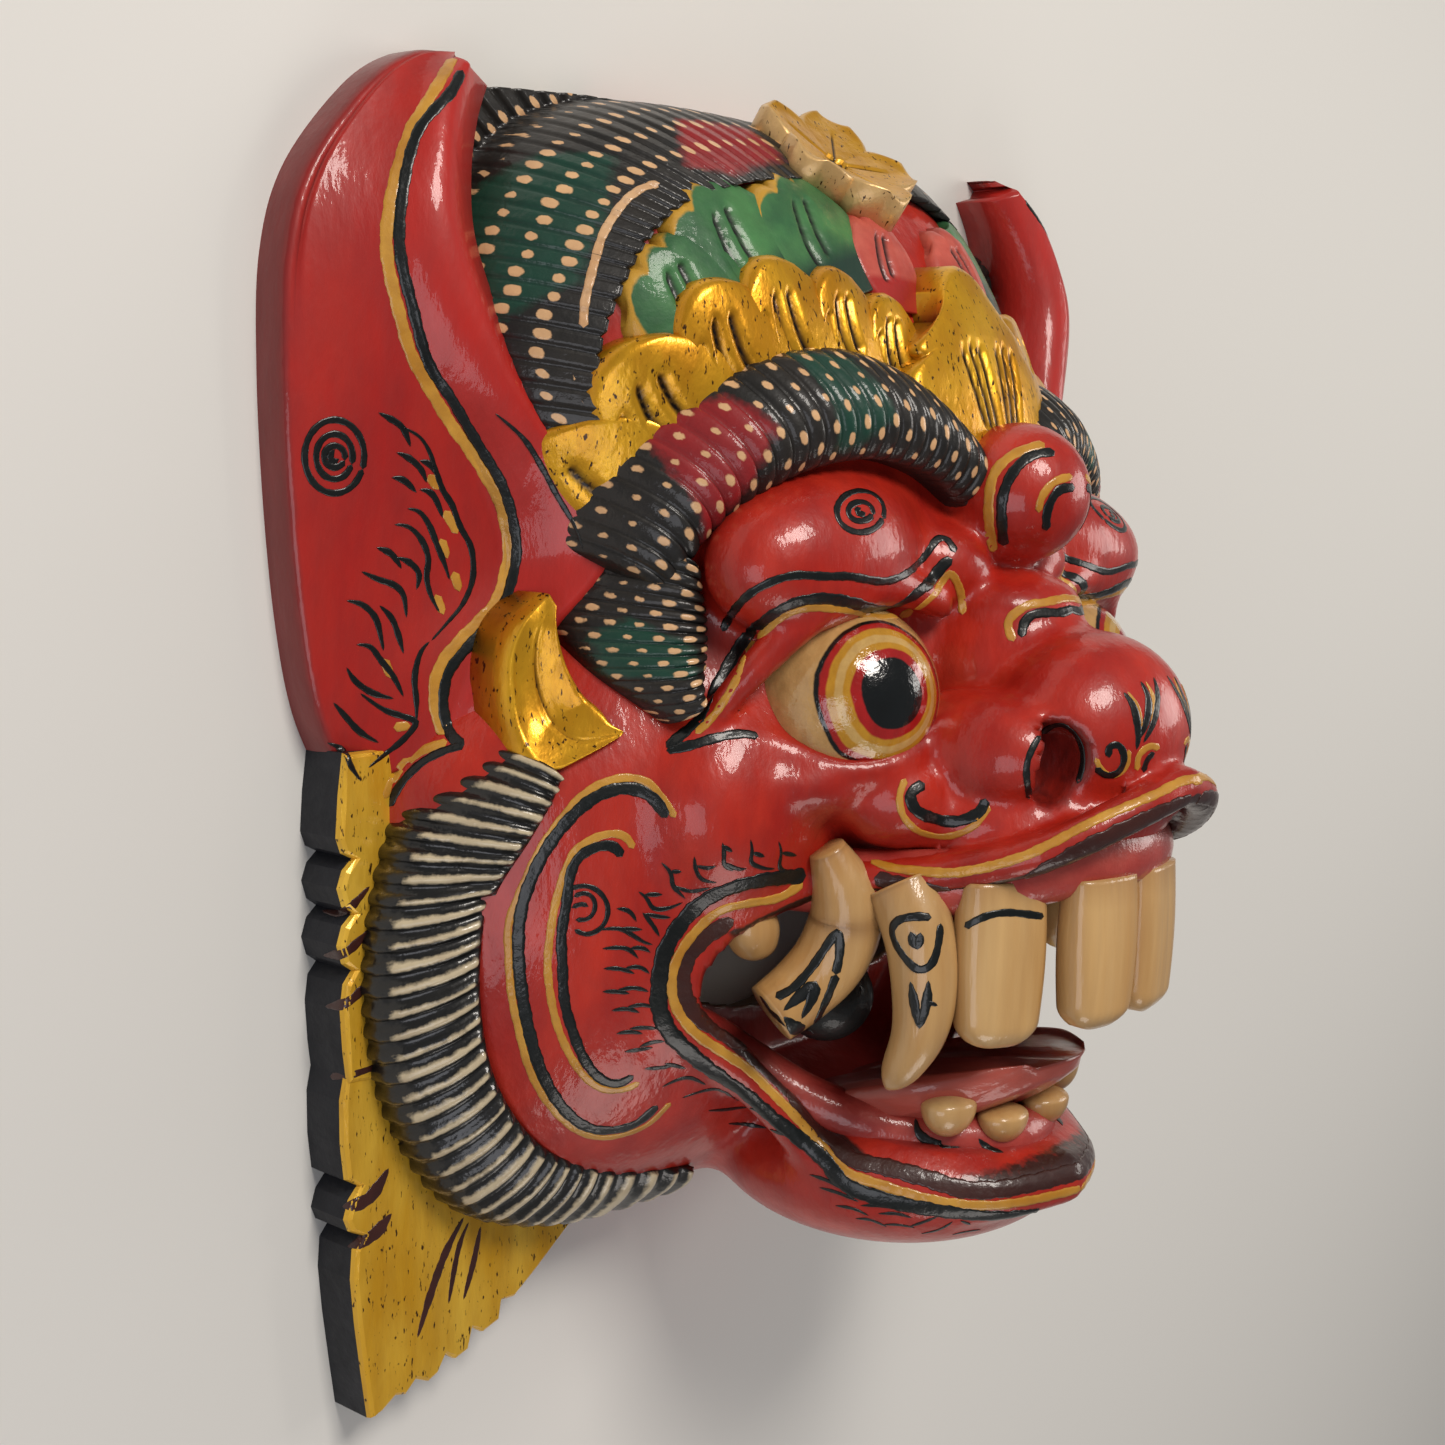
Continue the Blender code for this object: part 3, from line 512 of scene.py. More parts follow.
def mixColours(tree, share, a, b, how="MIX"):
    settings = {"data_type": "RGBA", "blend_type": how, 0: share, 6: a, 7: b}
    return addNode(tree, "ShaderNodeMix", settings).outputs[2]


def stepped(tree, value, low, high):
    settings = {"From Min": low, "From Max": high, "Value": value}
    return addNode(tree, "ShaderNodeMapRange", settings).outputs["Result"]


def noise(tree, place, scale, detail=3.0, stretch=(1.0, 1.0, 1.0)):
    # its scale is in cells per metre along the given stretch
    turned = addNode(tree, "ShaderNodeMapping", {"Scale": stretch, "Vector": place}).outputs[0]
    settings = {"Scale": scale, "Detail": detail, "Roughness": 0.55, "Vector": turned}
    return addNode(tree, "ShaderNodeTexNoise", settings).outputs["Fac"]


def attribute(tree, name):
    return addNode(tree, "ShaderNodeAttribute", {"attribute_name": name}).outputs["Fac"]


def sumOf(tree, a, b, how="ADD"):
    return addNode(tree, "ShaderNodeMath", {"operation": how, 0: a, 1: b}).outputs[0]


def woodPaint(name, base, worn, rough=0.42, layers=(), coat=0.5, metal=0.0, streak=(1.0, 1.0, 1.0),
              pits=0.0, wave=0.35):
    # Paint brushed on carved wood and varnished. base and worn are two shades that the brush leaves, layers are
    # (attribute, colour, edge in metres) painted over them, pits is the share of pores that show dark.
    material = bpy.data.materials.new(name)
    material.use_nodes = True
    tree = material.node_tree
    shader = tree.nodes["Principled BSDF"]
    place = addNode(tree, "ShaderNodeTexCoord").outputs["Object"]
    brush = noise(tree, place, 55.0, 4.0, streak)
    fine = noise(tree, place, 420.0, 3.0, streak)
    colour = mixColours(tree, stepped(tree, brush, 0.36, 0.66), linear(base), linear(worn))
    ragged = sumOf(tree, sumOf(tree, fine, 0.5, "SUBTRACT"), 0.0011, "MULTIPLY")
    for key, tint, edge in layers:
        level = sumOf(tree, attribute(tree, key), ragged)
        colour = mixColours(tree, stepped(tree, level, -edge, edge), colour, linear(tint))
    mottle = noise(tree, place, 150.0, 4.0, streak)
    colour = mixColours(tree, stepped(tree, mottle, 0.30, 0.75), colour, [0.80, 0.77, 0.76, 1.0], "MULTIPLY")
    # carved creases are darkened with painted shade
    bend = addNode(tree, "ShaderNodeNewGeometry").outputs["Pointiness"]
    creaseShade = stepped(tree, bend, 0.49, 0.40)
    colour = mixColours(tree, creaseShade, colour, [0.30, 0.20, 0.18, 1.0], "MULTIPLY")
    shader.inputs["Metallic"].default_value = metal
    if pits:
        pores = noise(tree, place, 900.0, 2.0, (1.0, 0.32, 0.7))
        colour = mixColours(tree, stepped(tree, pores, 0.66 - pits, 0.72 - pits), colour, linear("#3c2108"))
    tree.links.new(colour, shader.inputs["Base Color"])
    uneven = addNode(tree, "ShaderNodeMapRange", {"To Min": rough * 0.75, "To Max": rough * 1.35,
                                                  "Value": mottle})
    tree.links.new(uneven.outputs["Result"], shader.inputs["Roughness"])
    shader.inputs["Specular IOR Level"].default_value = 0.35
    shader.inputs["Coat Weight"].default_value = coat
    shader.inputs["Coat Roughness"].default_value = 0.09
    bump = addNode(tree, "ShaderNodeBump", {"Strength": 0.5, "Distance": 0.0003, "Height": fine})
    waves = addNode(tree, "ShaderNodeBump", {"Strength": wave, "Distance": 0.0011, "Height": mottle,
                                             "Normal": bump.outputs[0]})
    for key in ("Normal", "Coat Normal"):
        tree.links.new(waves.outputs[0], shader.inputs[key])
    return material


# Red lacquer brushed on thin: the strokes leave lighter and darker red, and the varnish gives sharp glints
# inside the nostrils the red is darkened with painted shade
redPaint = woodPaint("red lacquer on carved wood", "#a31a0e", "#bb2c1a",
                     layers=(("bare", "#8a6a48", 0.0006), ("lip", "#371712", 0.0003), ("wall", "#9a2a24", 0.25),
                             ("nostrilShade", "#3c0907", 0.0008)), streak=(1.0, 0.45, 1.0))
earPaint = woodPaint("red lacquer on the ear", "#a01813", "#ad2218", rough=0.45,
                     layers=(("side", "#7a1d1c", 0.0010), ("bright", "#b3221a", 0.0008)),
                     streak=(1.0, 0.35, 1.0), wave=0.2)
# Hair and bands: black ground with green, crimson and cream dabs, each laid over the cut ridges
hairPaint = woodPaint("hair paint", "#151412", "#221e19", rough=0.5, coat=0.4,
                      layers=(("green", "#0f3d2f", 0.0004), ("crimson", "#8e1a1e", 0.0004),
                              ("cream", "#d6ab7c", 0.00018)))
fringePaint = woodPaint("fringe paint", "#0d0d0c", "#171614", rough=0.4, coat=0.6,
                        layers=(("cream", "#c9b998", 0.00030),))
# Gold leaf over brown size: the size shows in pores, and the leaf reflects warm and soft
# its cuts and edges are darkened with painted shade
goldLeaf = woodPaint("gold leaf over brown size", "#d39318", "#eeb62a", rough=0.34, coat=0.25, metal=0.62,
                     layers=(("shadedCut", "#1a0d05", 0.25),), streak=(1.0, 0.5, 1.0), pits=0.035)
# the cheek leaves carry a lighter copy of the gold leaf: painted light
paintedLitGold = woodPaint("bright gold leaf on the cheek leaf", "#d8a01e", "#f4c544", rough=0.38, coat=0.3,
                       metal=0.35, layers=(("shadedCut", "#1a0d05", 0.25),), streak=(1.0, 0.3, 1.0), pits=0.02)
# leaves, petals and the flower are painted dark in their cuts, as painted shade
leafPaint = woodPaint("leaf paint", "#2f5f3a", "#477f49", rough=0.5, coat=0.3,
                      layers=(("dark", "#15382b", 0.0030), ("gilt", "#c29330", 0.0004),
                              ("shadedCut", "#0c120d", 0.25)))
pinkPaint = woodPaint("pink petal paint", "#a93a31", "#c86051", rough=0.5, coat=0.3,
                      layers=(("dark", "#a3221e", 0.0010), ("shadedCut", "#31100d", 0.25)))
flowerPaint = woodPaint("gilded flower", "#c98f1c", "#dfa92c", rough=0.4, coat=0.3, metal=0.5,
                        layers=(("edge", "#dcb67a", 0.0005), ("shadedCut", "#140e0a", 0.25)), pits=0.02)
blackPaint = woodPaint("black line paint", "#070b0b", "#0e1413", rough=0.35, coat=0.35)
ochrePaint = woodPaint("ochre line paint", "#b57c22", "#cf9a3c", rough=0.42, coat=0.5)
brownPaint = woodPaint("dark brown lip paint", "#33140f", "#43201a", rough=0.4, coat=0.5)
pinkLine = woodPaint("pink lip paint", "#a8322c", "#c25045", rough=0.4, coat=0.6)
# teeth are darker towards the root
ivoryPaint = woodPaint("varnished tooth paint", "#c6995c", "#dab57c", rough=0.36, coat=0.6,
                       layers=(("toothDarkening", "#8f5a28", 0.45),), streak=(1.0, 0.10, 1.0))
tonguePaint = woodPaint("tongue paint", "#71241c", "#8d392c", rough=0.4, coat=0.6,
                        layers=(("edge", "#bf5a4c", 0.35),), streak=(1.0, 1.0, 0.4))
mouthPaint = woodPaint("black paint inside the mouth", "#0a0d0d", "#131716", rough=0.5, coat=0.3)
sidePaint = woodPaint("black paint on the sawn sides", "#10121a", "#191b22", rough=0.6, coat=0.1)
creamLine = woodPaint("cream line paint", "#c79a6c", "#d8b084", rough=0.45, coat=0.3)


# the nostrils are painted dark inside, as painted shade
faceFields = {"bare": (faceBare - 0.5) * 0.004, "wall": faceWall - 0.5, "lip": faceLip,
              "nostrilShade": (1.05 - nostrilGap) * 0.005}
addPiece("face", buildMesh("face", settle(facePoints), faceQuads, faceFields), redPaint)

print("carving hair, ears and leaves")


def gridAlong(inner, outer, columns, rows):
    # points between two curves: rows from the inner to the outer, columns along them
    shares = np.linspace(0.0, 1.0, columns)
    a = curveAt(inner, shares)
    b = curveAt(outer, shares)
    v = np.linspace(0.0, 1.0, rows)[None, :, None]
    return a[:, None, :] * (1.0 - v) + b[:, None, :] * v


def patch(ridge, reach, corners):
    # how far inside a painted patch, with its corners in ridges and in centimetres along them
    return -0.002 * loopDistance(ridge, reach * 100.0, vec(*corners))


def ridgeSpan(top, perRidge):
    # length along each ridge from its root, and the pitch between ridges
    steps = np.linalg.norm(np.diff(top, axis=1), axis=-1)
    reach = np.concatenate((np.zeros((len(top), 1)), np.cumsum(steps, axis=1)), axis=1)
    return reach, np.linalg.norm(np.gradient(top, axis=0), axis=-1) * perRidge


def dabs(ridge, reach, pitch, spacing, size, shift, start, end):
    # distance to painted dabs, one row on each ridge, positive inside a dab
    index = np.floor(ridge)
    across = (ridge - index - 0.5) * pitch
    place = reach / spacing + index * shift
    wobble = 0.22 * np.sin(index * 12.7) + 0.18 * np.sin(np.floor(place) * 7.3 + index * 3.1)
    along = (place - np.floor(place) - 0.5 + 0.5 * wobble * 0.6) * spacing
    grow = 1.0 + 0.18 * np.sin(index * 5.1 + np.floor(place) * 2.3)
    level = 1.0 - np.sqrt((across / (size[0] * grow)) ** 2 + (along / (size[1] * grow)) ** 2)
    keep = (reach > start) & (reach < end)
    return np.where(keep, level * min(size), -0.002)


def makeDomeHair():
    spec = {"ridges": 33, "depth": 0.0018, "lift": 0.005, "skirt": 0.008}
    inner = mm2(-120, 88, -131, 116, -122, 143, -103, 162, -75, 172, -40, 178, 0, 181)
    outer = mm2(-138, 90, -155, 122, -161, 155, -147, 190, -100, 199.2, -50, 201.2, 0, 201.7)
    columns = spec["ridges"] * 8 + 1
    rows = 44
    flat = gridAlong(inner, outer, columns, rows)
    x, y = flat[..., 0], flat[..., 1]
    base = np.maximum(domeTop(x, y), 0.006)
    ridge = np.broadcast_to(np.linspace(0.0, spec["ridges"], columns)[:, None], x.shape)
    # each ridge is cut like a roof tile: a steep side and a long one
    part = ridge - np.floor(ridge)
    tile = np.where(part < 0.22, part / 0.22, 1.0 - 0.45 * (part - 0.22) / 0.78)
    top = np.stack((x, y, base + spec["lift"] + spec["depth"] * tile), axis=-1)
    reach, pitch = ridgeSpan(top, 8.0)
    cream = dabs(ridge, reach, pitch, 0.0122, (0.0018, 0.0022), 0.0, 0.008, 0.075)
    green = patch(ridge, reach, ((6.5, 3.2), (9.0, 4.8), (13.0, 5.6), (16.5, 4.2), (18.0, 2.6), (14.0, 1.4),
                                 (9.5, 1.2)))
    crimson = patch(ridge, reach, ((20.0, 1.2), (24.0, 3.4), (28.0, 2.8), (27.0, 0.9), (22.0, 0.4)))
    under = np.stack((x, y, np.maximum(base - spec["skirt"], 0.0)), axis=-1)
    leftCarrier(top)
    pairOf("domeHair", top, under, hairPaint, {"cream": cream, "green": green, "crimson": crimson})


def ridgedBand(name, inner, outer, spec, material):
    # a swelling band of hair, cut into ridges that run across it
    columns = spec["ridges"] * 9 + 1
    rows = spec["rows"]
    a = np.array([(x, y, float(domeTop(x, y)) + spec["innerLift"]) for x, y in inner])
    b = np.array([(x, y, float(domeTop(x, y)) + spec["outerLift"]) for x, y in outer])
    spot = gridAlong(a, b, columns, rows)
    v = np.linspace(0.0, 1.0, rows)[None, :]
    ridge = np.broadcast_to(np.linspace(0.0, spec["ridges"], columns)[:, None], (columns, rows))
    part = ridge - np.floor(ridge)
    rib = np.sqrt(np.maximum(0.0, 1.0 - (2.0 * part - 1.0) ** 2))
    ends = np.minimum(1.0, np.minimum(ridge, spec["ridges"] - ridge) / 1.2) ** 0.5
    swell = np.sin(np.pi * (0.03 + 0.94 * v)) ** 0.75
    lift = spec["swell"] * swell * (0.35 + 0.65 * ends) + spec["depth"] * rib * np.minimum(1.0, 3.0 * swell)
    top = spot.copy()
    top[..., 2] += lift
    under = spot.copy()
    under[..., 2] -= 0.006
    reach, pitch = ridgeSpan(top, 9.0)
    cream = dabs(ridge, reach, pitch, spec["dabSpacing"], spec["dab"], 0.5, 0.002, 0.9)
    fields = {"cream": cream, "green": patch(ridge, reach, spec["green"]),
              "crimson": patch(ridge, reach, spec["crimson"])}
    leftCarrier(top)
    pairOf(name, top, under, material, fields)


upperBand = {"ridges": 26, "rows": 34, "innerLift": 0.006, "outerLift": 0.002, "swell": 0.0125, "depth": 0.0020,
             "dabSpacing": 0.0098, "dab": (0.0011, 0.0017),
             "crimson": ((4.0, 0.2), (6.0, 4.5), (9.0, 3.6), (9.5, 2.0), (7.0, 0.8)),
             "green": ((12.5, 0.6), (13.0, 4.2), (16.0, 3.6), (16.5, 1.4), (14.0, 0.6))}
lowerBand = {"ridges": 15, "rows": 26, "innerLift": 0.004, "outerLift": 0.002, "swell": 0.0125, "depth": 0.0020,
             "dabSpacing": 0.0092, "dab": (0.0011, 0.0017),
             "crimson": ((0.0, 9.0), (0.1, 9.1), (0.1, 9.0)),
             "green": ((4.0, 0.8), (4.5, 3.6), (7.5, 3.8), (9.0, 2.4), (7.0, 0.8))}

makeDomeHair()
ridgedBand("upperBand", mm2(-112, 50, -104, 70, -86, 86, -62, 92, -38, 88, -20, 78),
           mm2(-132, 66, -122, 93, -98, 116, -68, 124, -36, 118, -14, 102), upperBand, hairPaint)
ridgedBand("lowerBand", mm2(-112, 22.5, -105.5, 33, -103, 46, -106, 60),
           mm2(-116, 15, -127, 30, -129, 50, -117, 68), lowerBand, hairPaint)


def makeEars():
    # shallow shell with a sawn side, a rolled edge, a fold under the line and the inner band to the hair
    rim = mm2(-142, 204, -156, 202, -173, 191, -193, 167, -201, 143, -202, 112, -200, 76, -196, 42, -190,
        16, -179, -6)
    line = mm3(-147, 201, 18, -160, 190, 22, -168, 175, 25, -174, 158, 28, -174, 138, 29, -163, 110, 30,
        -148, 86, 31, -138, 60, 32, -147, 34, 31, -158, 4, 26)
    border = mm3(-145, 198, 22, -154, 186, 27, -161, 170, 32, -163, 152, 36, -156, 130, 40, -146, 108, 45,
        -132, 88, 50, -121, 64, 58, -137, 36, 44, -146, 2, 30)
    columns = 110
    shares = np.linspace(0.0, 1.0, columns)
    a = curveAt(rim, shares)
    b = curveAt(line, shares)
    c = curveAt(border, shares)
    thick = 0.0125
    rows, side, bright = [], [], []

    def lay(spot, dark, glow):
        rows.append(spot)
        side.append(np.full(columns, dark))
        bright.append(np.full(columns, glow))

    flat = b[:, :2] - a
    width = np.linalg.norm(flat, axis=1)
    inward = flat / width[:, None]
    for height, inset, dark in ((0.0004, 0.0, 1.0), (0.35, 0.0, 1.0), (0.70, 0.0002, 0.7), (0.88, 0.0007, 0.3),
                                (0.97, 0.0018, -0.3), (1.0, 0.0034, -1.0)):
        spot = a + inward * np.minimum(inset, 0.3 * width)[:, None]
        lay(np.column_stack((spot, np.full(columns, thick * height if height > 0.01 else height))), dark, -1.0)
    for share in np.linspace(0.12, 1.0, 16):
        dish = np.maximum(thick + (b[:, 2] - thick) * share ** 1.25, thick * 0.6)
        lay(np.column_stack((a + flat * share, dish)), -1.0, (share - 0.97) * 30.0)
    for share in (0.12, 0.3, 0.5, 0.7, 0.86, 1.0):
        spot = b + (c - b) * share
        spot[:, 2] += 0.0018 * np.sin(np.pi * share)
        lay(spot, -1.0, 1.0)
    lay(np.column_stack((c[:, 0] * 0.93, c[:, 1] * 0.985, c[:, 2] - 0.004)), -1.0, 1.0)
    top = np.stack(rows, axis=1)
    under = top.copy()
    under[..., 2] = 0.0
    fields = {"side": np.stack(side, axis=1) * 0.002, "bright": np.stack(bright, axis=1) * 0.002}
    leftCarrier(top)
    pairOf("ear", top, under, earPaint, fields, warp=False)


makeEars()


def makeFringe():
    # raised pale ridges over a black ground, flaring out from the cheek over the leaves
    spec = {"ridges": 34, "rows": 22, "thick": 0.015, "depth": 0.0021}
    inner = mm3(-142.3, 0.4, 50, -149.2, -17.6, 46, -155, -38, 43.5, -157, -64, 43.5, -150, -91, 43.5, -131,
        -115, 43.5, -105, -128, 44.5, -64, -138, 46.5)
    outer = mm3(-149.4, 7.5, 30, -168.4, -13.5, 28, -178, -44, 26, -178, -76, 26, -167, -108, 26, -144,
        -137, 26, -106, -151, 27, -60, -152, 30)
    columns = spec["ridges"] * 9 + 1
    flat = gridAlong(inner, outer, columns, spec["rows"])
    top = flat.copy()
    v = np.broadcast_to(np.linspace(0.0, 1.0, spec["rows"])[None, :], top.shape[:2])
    ridge = np.broadcast_to(np.linspace(0.0, spec["ridges"], columns)[:, None], v.shape)
    part = ridge - np.floor(ridge)
    rib = np.clip(1.35 - np.abs(2.0 * part - 1.0) * 1.75, 0.0, 1.0) ** 0.7
    body = smoothStep(v / 0.10) * smoothStep((1.04 - v) / 0.10)
    arch = 0.0035 * np.sin(np.pi * np.clip(v, 0.0, 1.0))
    clear = domeTop(top[..., 0], top[..., 1]) + 0.0018 * smoothStep((9.0 - ridge) / 5.0)
    top[..., 2] = np.where(ridge < 9.0, np.maximum(top[..., 2], clear), top[..., 2])
    top[..., 2] += arch + spec["depth"] * rib * body - 0.0020 * smoothStep((v - 0.86) / 0.14)
    # ridge ends stick out past the cuts between them
    direction = unitRows(top[:, -1, :2] - top[:, 0, :2])
    push = (rib - 0.5) * 0.0014 * smoothStep((v - 0.7) / 0.3)
    top[..., :2] += direction[:, None, :] * push[..., None]
    under = top.copy()
    under[..., 2] = np.minimum(under[..., 2], flat[..., 2] - spec["thick"])
    length = np.linalg.norm(top[:, -1] - top[:, 0], axis=-1)[:, None]
    pitch = np.linalg.norm(np.gradient(top[:, ::21], axis=0), axis=-1).max(axis=1)[:, None] * 9.0
    across = 0.15 + 0.05 * np.sin(np.floor(ridge) * 2.7 + 3.0 * v) - np.abs(part - 0.5 - 0.06 * np.sin(ridge))
    ends = np.minimum(v - 0.10 - 0.03 * np.sin(np.floor(ridge) * 4.0), 0.93 - v) * length / pitch
    leftCarrier(top)
    pairOf("fringe", top, under, fringePaint, {"cream": np.minimum(across, ends) * 0.0045}, warp=False)


makeFringe()


def carvedLeaf(name, root, tip, halfWidth, lift, material, look, pair=True):
    # a broad leaf or petal lying on the dome, with a lobed tip, rounded edges and curved cuts
    along = tip - root
    length = float(np.linalg.norm(along))
    aside = vec(-along[1], along[0]) / length
    s, v = shareGrid(*look.get("mesh", (54, 35)))
    wide = widthAt(look.get("widths", (0.62, 0.86, 1.0, 0.95, 0.72)), s) * halfWidth
    scallop = look["scallop"] * (np.abs(np.cos(0.5 * np.pi * look["lobes"] * v)) ** 0.5 - 0.6)
    reach = s - look.get("round", 0.16) * v * v * s ** 1.5 + scallop * s ** 4
    frill = 1.0 + look.get("frill", 0.0) * (np.abs(np.sin(3.0 * np.pi * s)) ** 0.5 - 0.6) * np.abs(v) ** 4
    spot = root + along * reach[..., None] + aside * (v * wide * frill)[..., None]
    x, y = spot[..., 0], spot[..., 1]
    carried = np.maximum(domeTop(x, y), 0.016)
    rise = look.get("rise", 0.35)
    height = lift * (1.0 - 0.35 * v * v) * (rise + (1.0 - rise) * s)
    edge = np.minimum((1.0 - np.abs(v)) * wide, (1.0 - s) * length)
    height = height - 0.0022 * (1.0 - np.minimum(edge / 0.0024, 1.0)) ** 2
    shadedCut = np.zeros_like(x)
    for start, end, bend, first, last in look["cuts"]:
        line = start + (end - start) * s + bend * np.sin(np.pi * s)
        fade = smoothStep((s - first) / 0.08) * smoothStep((last - s) / 0.10)
        gap = np.abs(v - line) * wide
        shadedCut = np.maximum(shadedCut, np.clip(1.0 - gap / (0.0019 * (0.35 + fade)), 0.0, 1.0) * fade)
    height = height - 0.0019 * shadedCut
    top = np.stack((x, y, carried + height), axis=-1)
    under = np.stack((x, y, np.maximum(carried - 0.006, 0.001)), axis=-1)
    brim = edge * np.ones_like(x)
    # the cuts and a thin line along the edges are painted dark, as painted shade
    fields = {"shadedCut": shadedCut - 0.62 + 0.4 * np.exp(-brim / 0.0006),
              "dark": (look.get("darkTo", -9.0) - s) * length * np.ones_like(x)}
    if "giltSide" in look:
        fields["gilt"] = 0.0030 * (0.5 + look["giltSide"] * v) - brim
    leftCarrier(top)
    if pair:
        pairOf(name, top, under, material, fields)
    else:
        addPiece(name, shellMesh(name, settle(top), settle(under), fields), material)


petalLook = {"cuts": ((0.10, -0.45, 0.30, 0.26, 0.80), (0.45, -0.10, 0.30, 0.22, 0.84),
                      (0.80, 0.30, 0.26, 0.20, 0.78)), "lobes": 1, "scallop": 0.03}
# Each row holds root, tip and half width in millimetres
petals = mm(-106, 74, -143, 90, 21, -96, 94, -129, 119, 19, -83, 106, -108, 139, 18, -66, 112, -86, 148, 18,
            -48, 114, -60, 148, 15, -30, 110, -38, 142, 14).reshape(-1, 5)
for n, row in enumerate(petals):
    carvedLeaf("goldPetal%d" % (n + 1), row[:2], row[2:4], row[4], 0.0105 - 0.0004 * n, goldLeaf, petalLook)
leafLook = {"cuts": ((-0.15, -0.45, 0.30, 0.30, 0.85), (0.15, -0.20, 0.30, 0.25, 0.85)),
            "lobes": 3, "scallop": 0.12, "giltSide": 0.8, "darkTo": 0.36}
leaves = mm(-94, 122, -117, 148, 21, -76, 134, -96, 168, 26, -48, 140, -58, 176, 27,
            -22, 138, -22, 168, 16).reshape(-1, 5)
for n, row in enumerate(leaves):
    paint = leafPaint if n < 3 else pinkPaint
    carvedLeaf("greenLeaf%d" % (n + 1), row[:2], row[2:4], row[4], 0.0072, paint, leafLook)


def makeCrescent():
    # gilded crescent between the ear and the cheek, hollowed along its middle
    outer = mm3(-137.5, 51.5, 46, -145.7, 43.1, 44, -149.2, 33.8, 43, -150, 23.1, 44, -149.9, 12.2, 47,
        -149.1, 4.7, 52, -145.7, 1.6, 57, -137.8, 5.6, 61, -127.5, 11.9, 64)
    inner = mm3(-138.2, 47.8, 50, -138.4, 41.1, 52, -136.4, 33.9, 53, -135.1, 28.8, 55, -132.9, 24, 57,
        -130.8, 20.6, 59, -129.5, 17.8, 61, -128.7, 15.4, 63, -126.7, 13, 64)
    rows = 25
    top = gridAlong(outer, inner, 70, rows)
    v = np.linspace(0.0, 1.0, rows)[None, :]
    s = np.linspace(0.0, 1.0, 70)[:, None]
    rolled = np.minimum(1.0, np.minimum(v, 1.0 - v) / 0.08) ** 0.5 - 1.0
    hollowed = np.sin(np.pi * v) * np.sin(np.pi * s)
    shadedCut = np.clip(1.0 - np.abs(v - 0.62 + 0.1 * s) / 0.05, 0.0, 1.0) * np.sin(np.pi * s)
    top[..., 2] = np.maximum(top[..., 2], domeTop(top[..., 0], top[..., 1]) + 0.0035 * (1.0 - s ** 4))
    top[..., 2] += 0.003 + 0.0025 * rolled - 0.0045 * hollowed - 0.0015 * shadedCut
    under = top.copy()
    under[..., 2] = np.minimum(under[..., 2] - 0.014, 0.034)
    # the cut along the crescent is painted dark, as painted shade
    pairOf("earCrescent", top, under, goldLeaf, {"shadedCut": shadedCut - 0.75}, warp=False)


makeCrescent()
ornament = {"cuts": ((-0.26, -0.56, 0.05, 0.16, 0.66), (-0.18, -0.40, 0.05, 0.14, 0.68),
                     (-0.10, -0.25, 0.05, 0.14, 0.66), (0.26, 0.56, -0.05, 0.16, 0.66),
                     (0.18, 0.40, -0.05, 0.14, 0.68), (0.10, 0.25, -0.05, 0.14, 0.66)),
            "lobes": 1, "scallop": 0.04, "mesh": (90, 71), "widths": (0.62, 0.92, 1.0, 0.86, 0.50),
            "frill": 0.20, "rise": 0.80, "round": 0.26}
carvedLeaf("crownOrnament", vec(0.0, 0.0905), vec(0.0, 0.153), 0.0355, 0.0165, goldLeaf, ornament, pair=False)


def makeFlower():
    # five cupped petals round a button, tilted with the slope of the crown
    centre = vec(-0.016, 0.1835, float(domeTop(-0.016, 0.1835)) + 0.002)
    slope = np.array(Matrix.Rotation(-0.95, 3, "X"))
    s, v = shareGrid(30, 25)
    for n in range(5):
        turn = np.array(Matrix.Rotation(2.0 * math.pi * (n + 0.5) / 5, 3, "Z"))
        wide = 0.0135 * np.sin(np.pi * np.clip(0.10 + 0.80 * s, 0, 1)) ** 0.7
        reach = 0.004 + 0.026 * (s - 0.10 * v * v * s)
        edge = np.minimum((1.0 - np.abs(v)) * wide, (1.0 - s) * 0.026)
        cup = 0.004 + 0.0045 * s + 0.0022 * v * v * s - 0.0016 * (1.0 - np.minimum(edge / 0.002, 1.0)) ** 2
        shadedCut = np.clip(1.0 - np.abs(v) * wide / 0.0013, 0, 1) * smoothStep((0.75 - s) / 0.3)
        shadedCut = shadedCut * np.ones_like(cup)
        local = np.stack((v * wide + 0.0 * s, reach + 0.0 * v, cup - 0.0010 * shadedCut), axis=-1)
        low = np.stack((v * wide + 0.0 * s, reach + 0.0 * v, -0.007 + 0.0 * cup), axis=-1)
        top = centre + local @ (slope @ turn).T
        under = centre + low @ (slope @ turn).T
        # the cut down each petal is painted dark, as painted shade
        fields = {"shadedCut": shadedCut - 0.7, "edge": 0.0020 - edge * np.ones_like(cup)}
        name = "flowerPetal%d" % (n + 1)
        addPiece(name, shellMesh(name, top, under, fields), flowerPaint)
        leftCarrier(top)


makeFlower()


print("setting eyes, teeth and tongue")


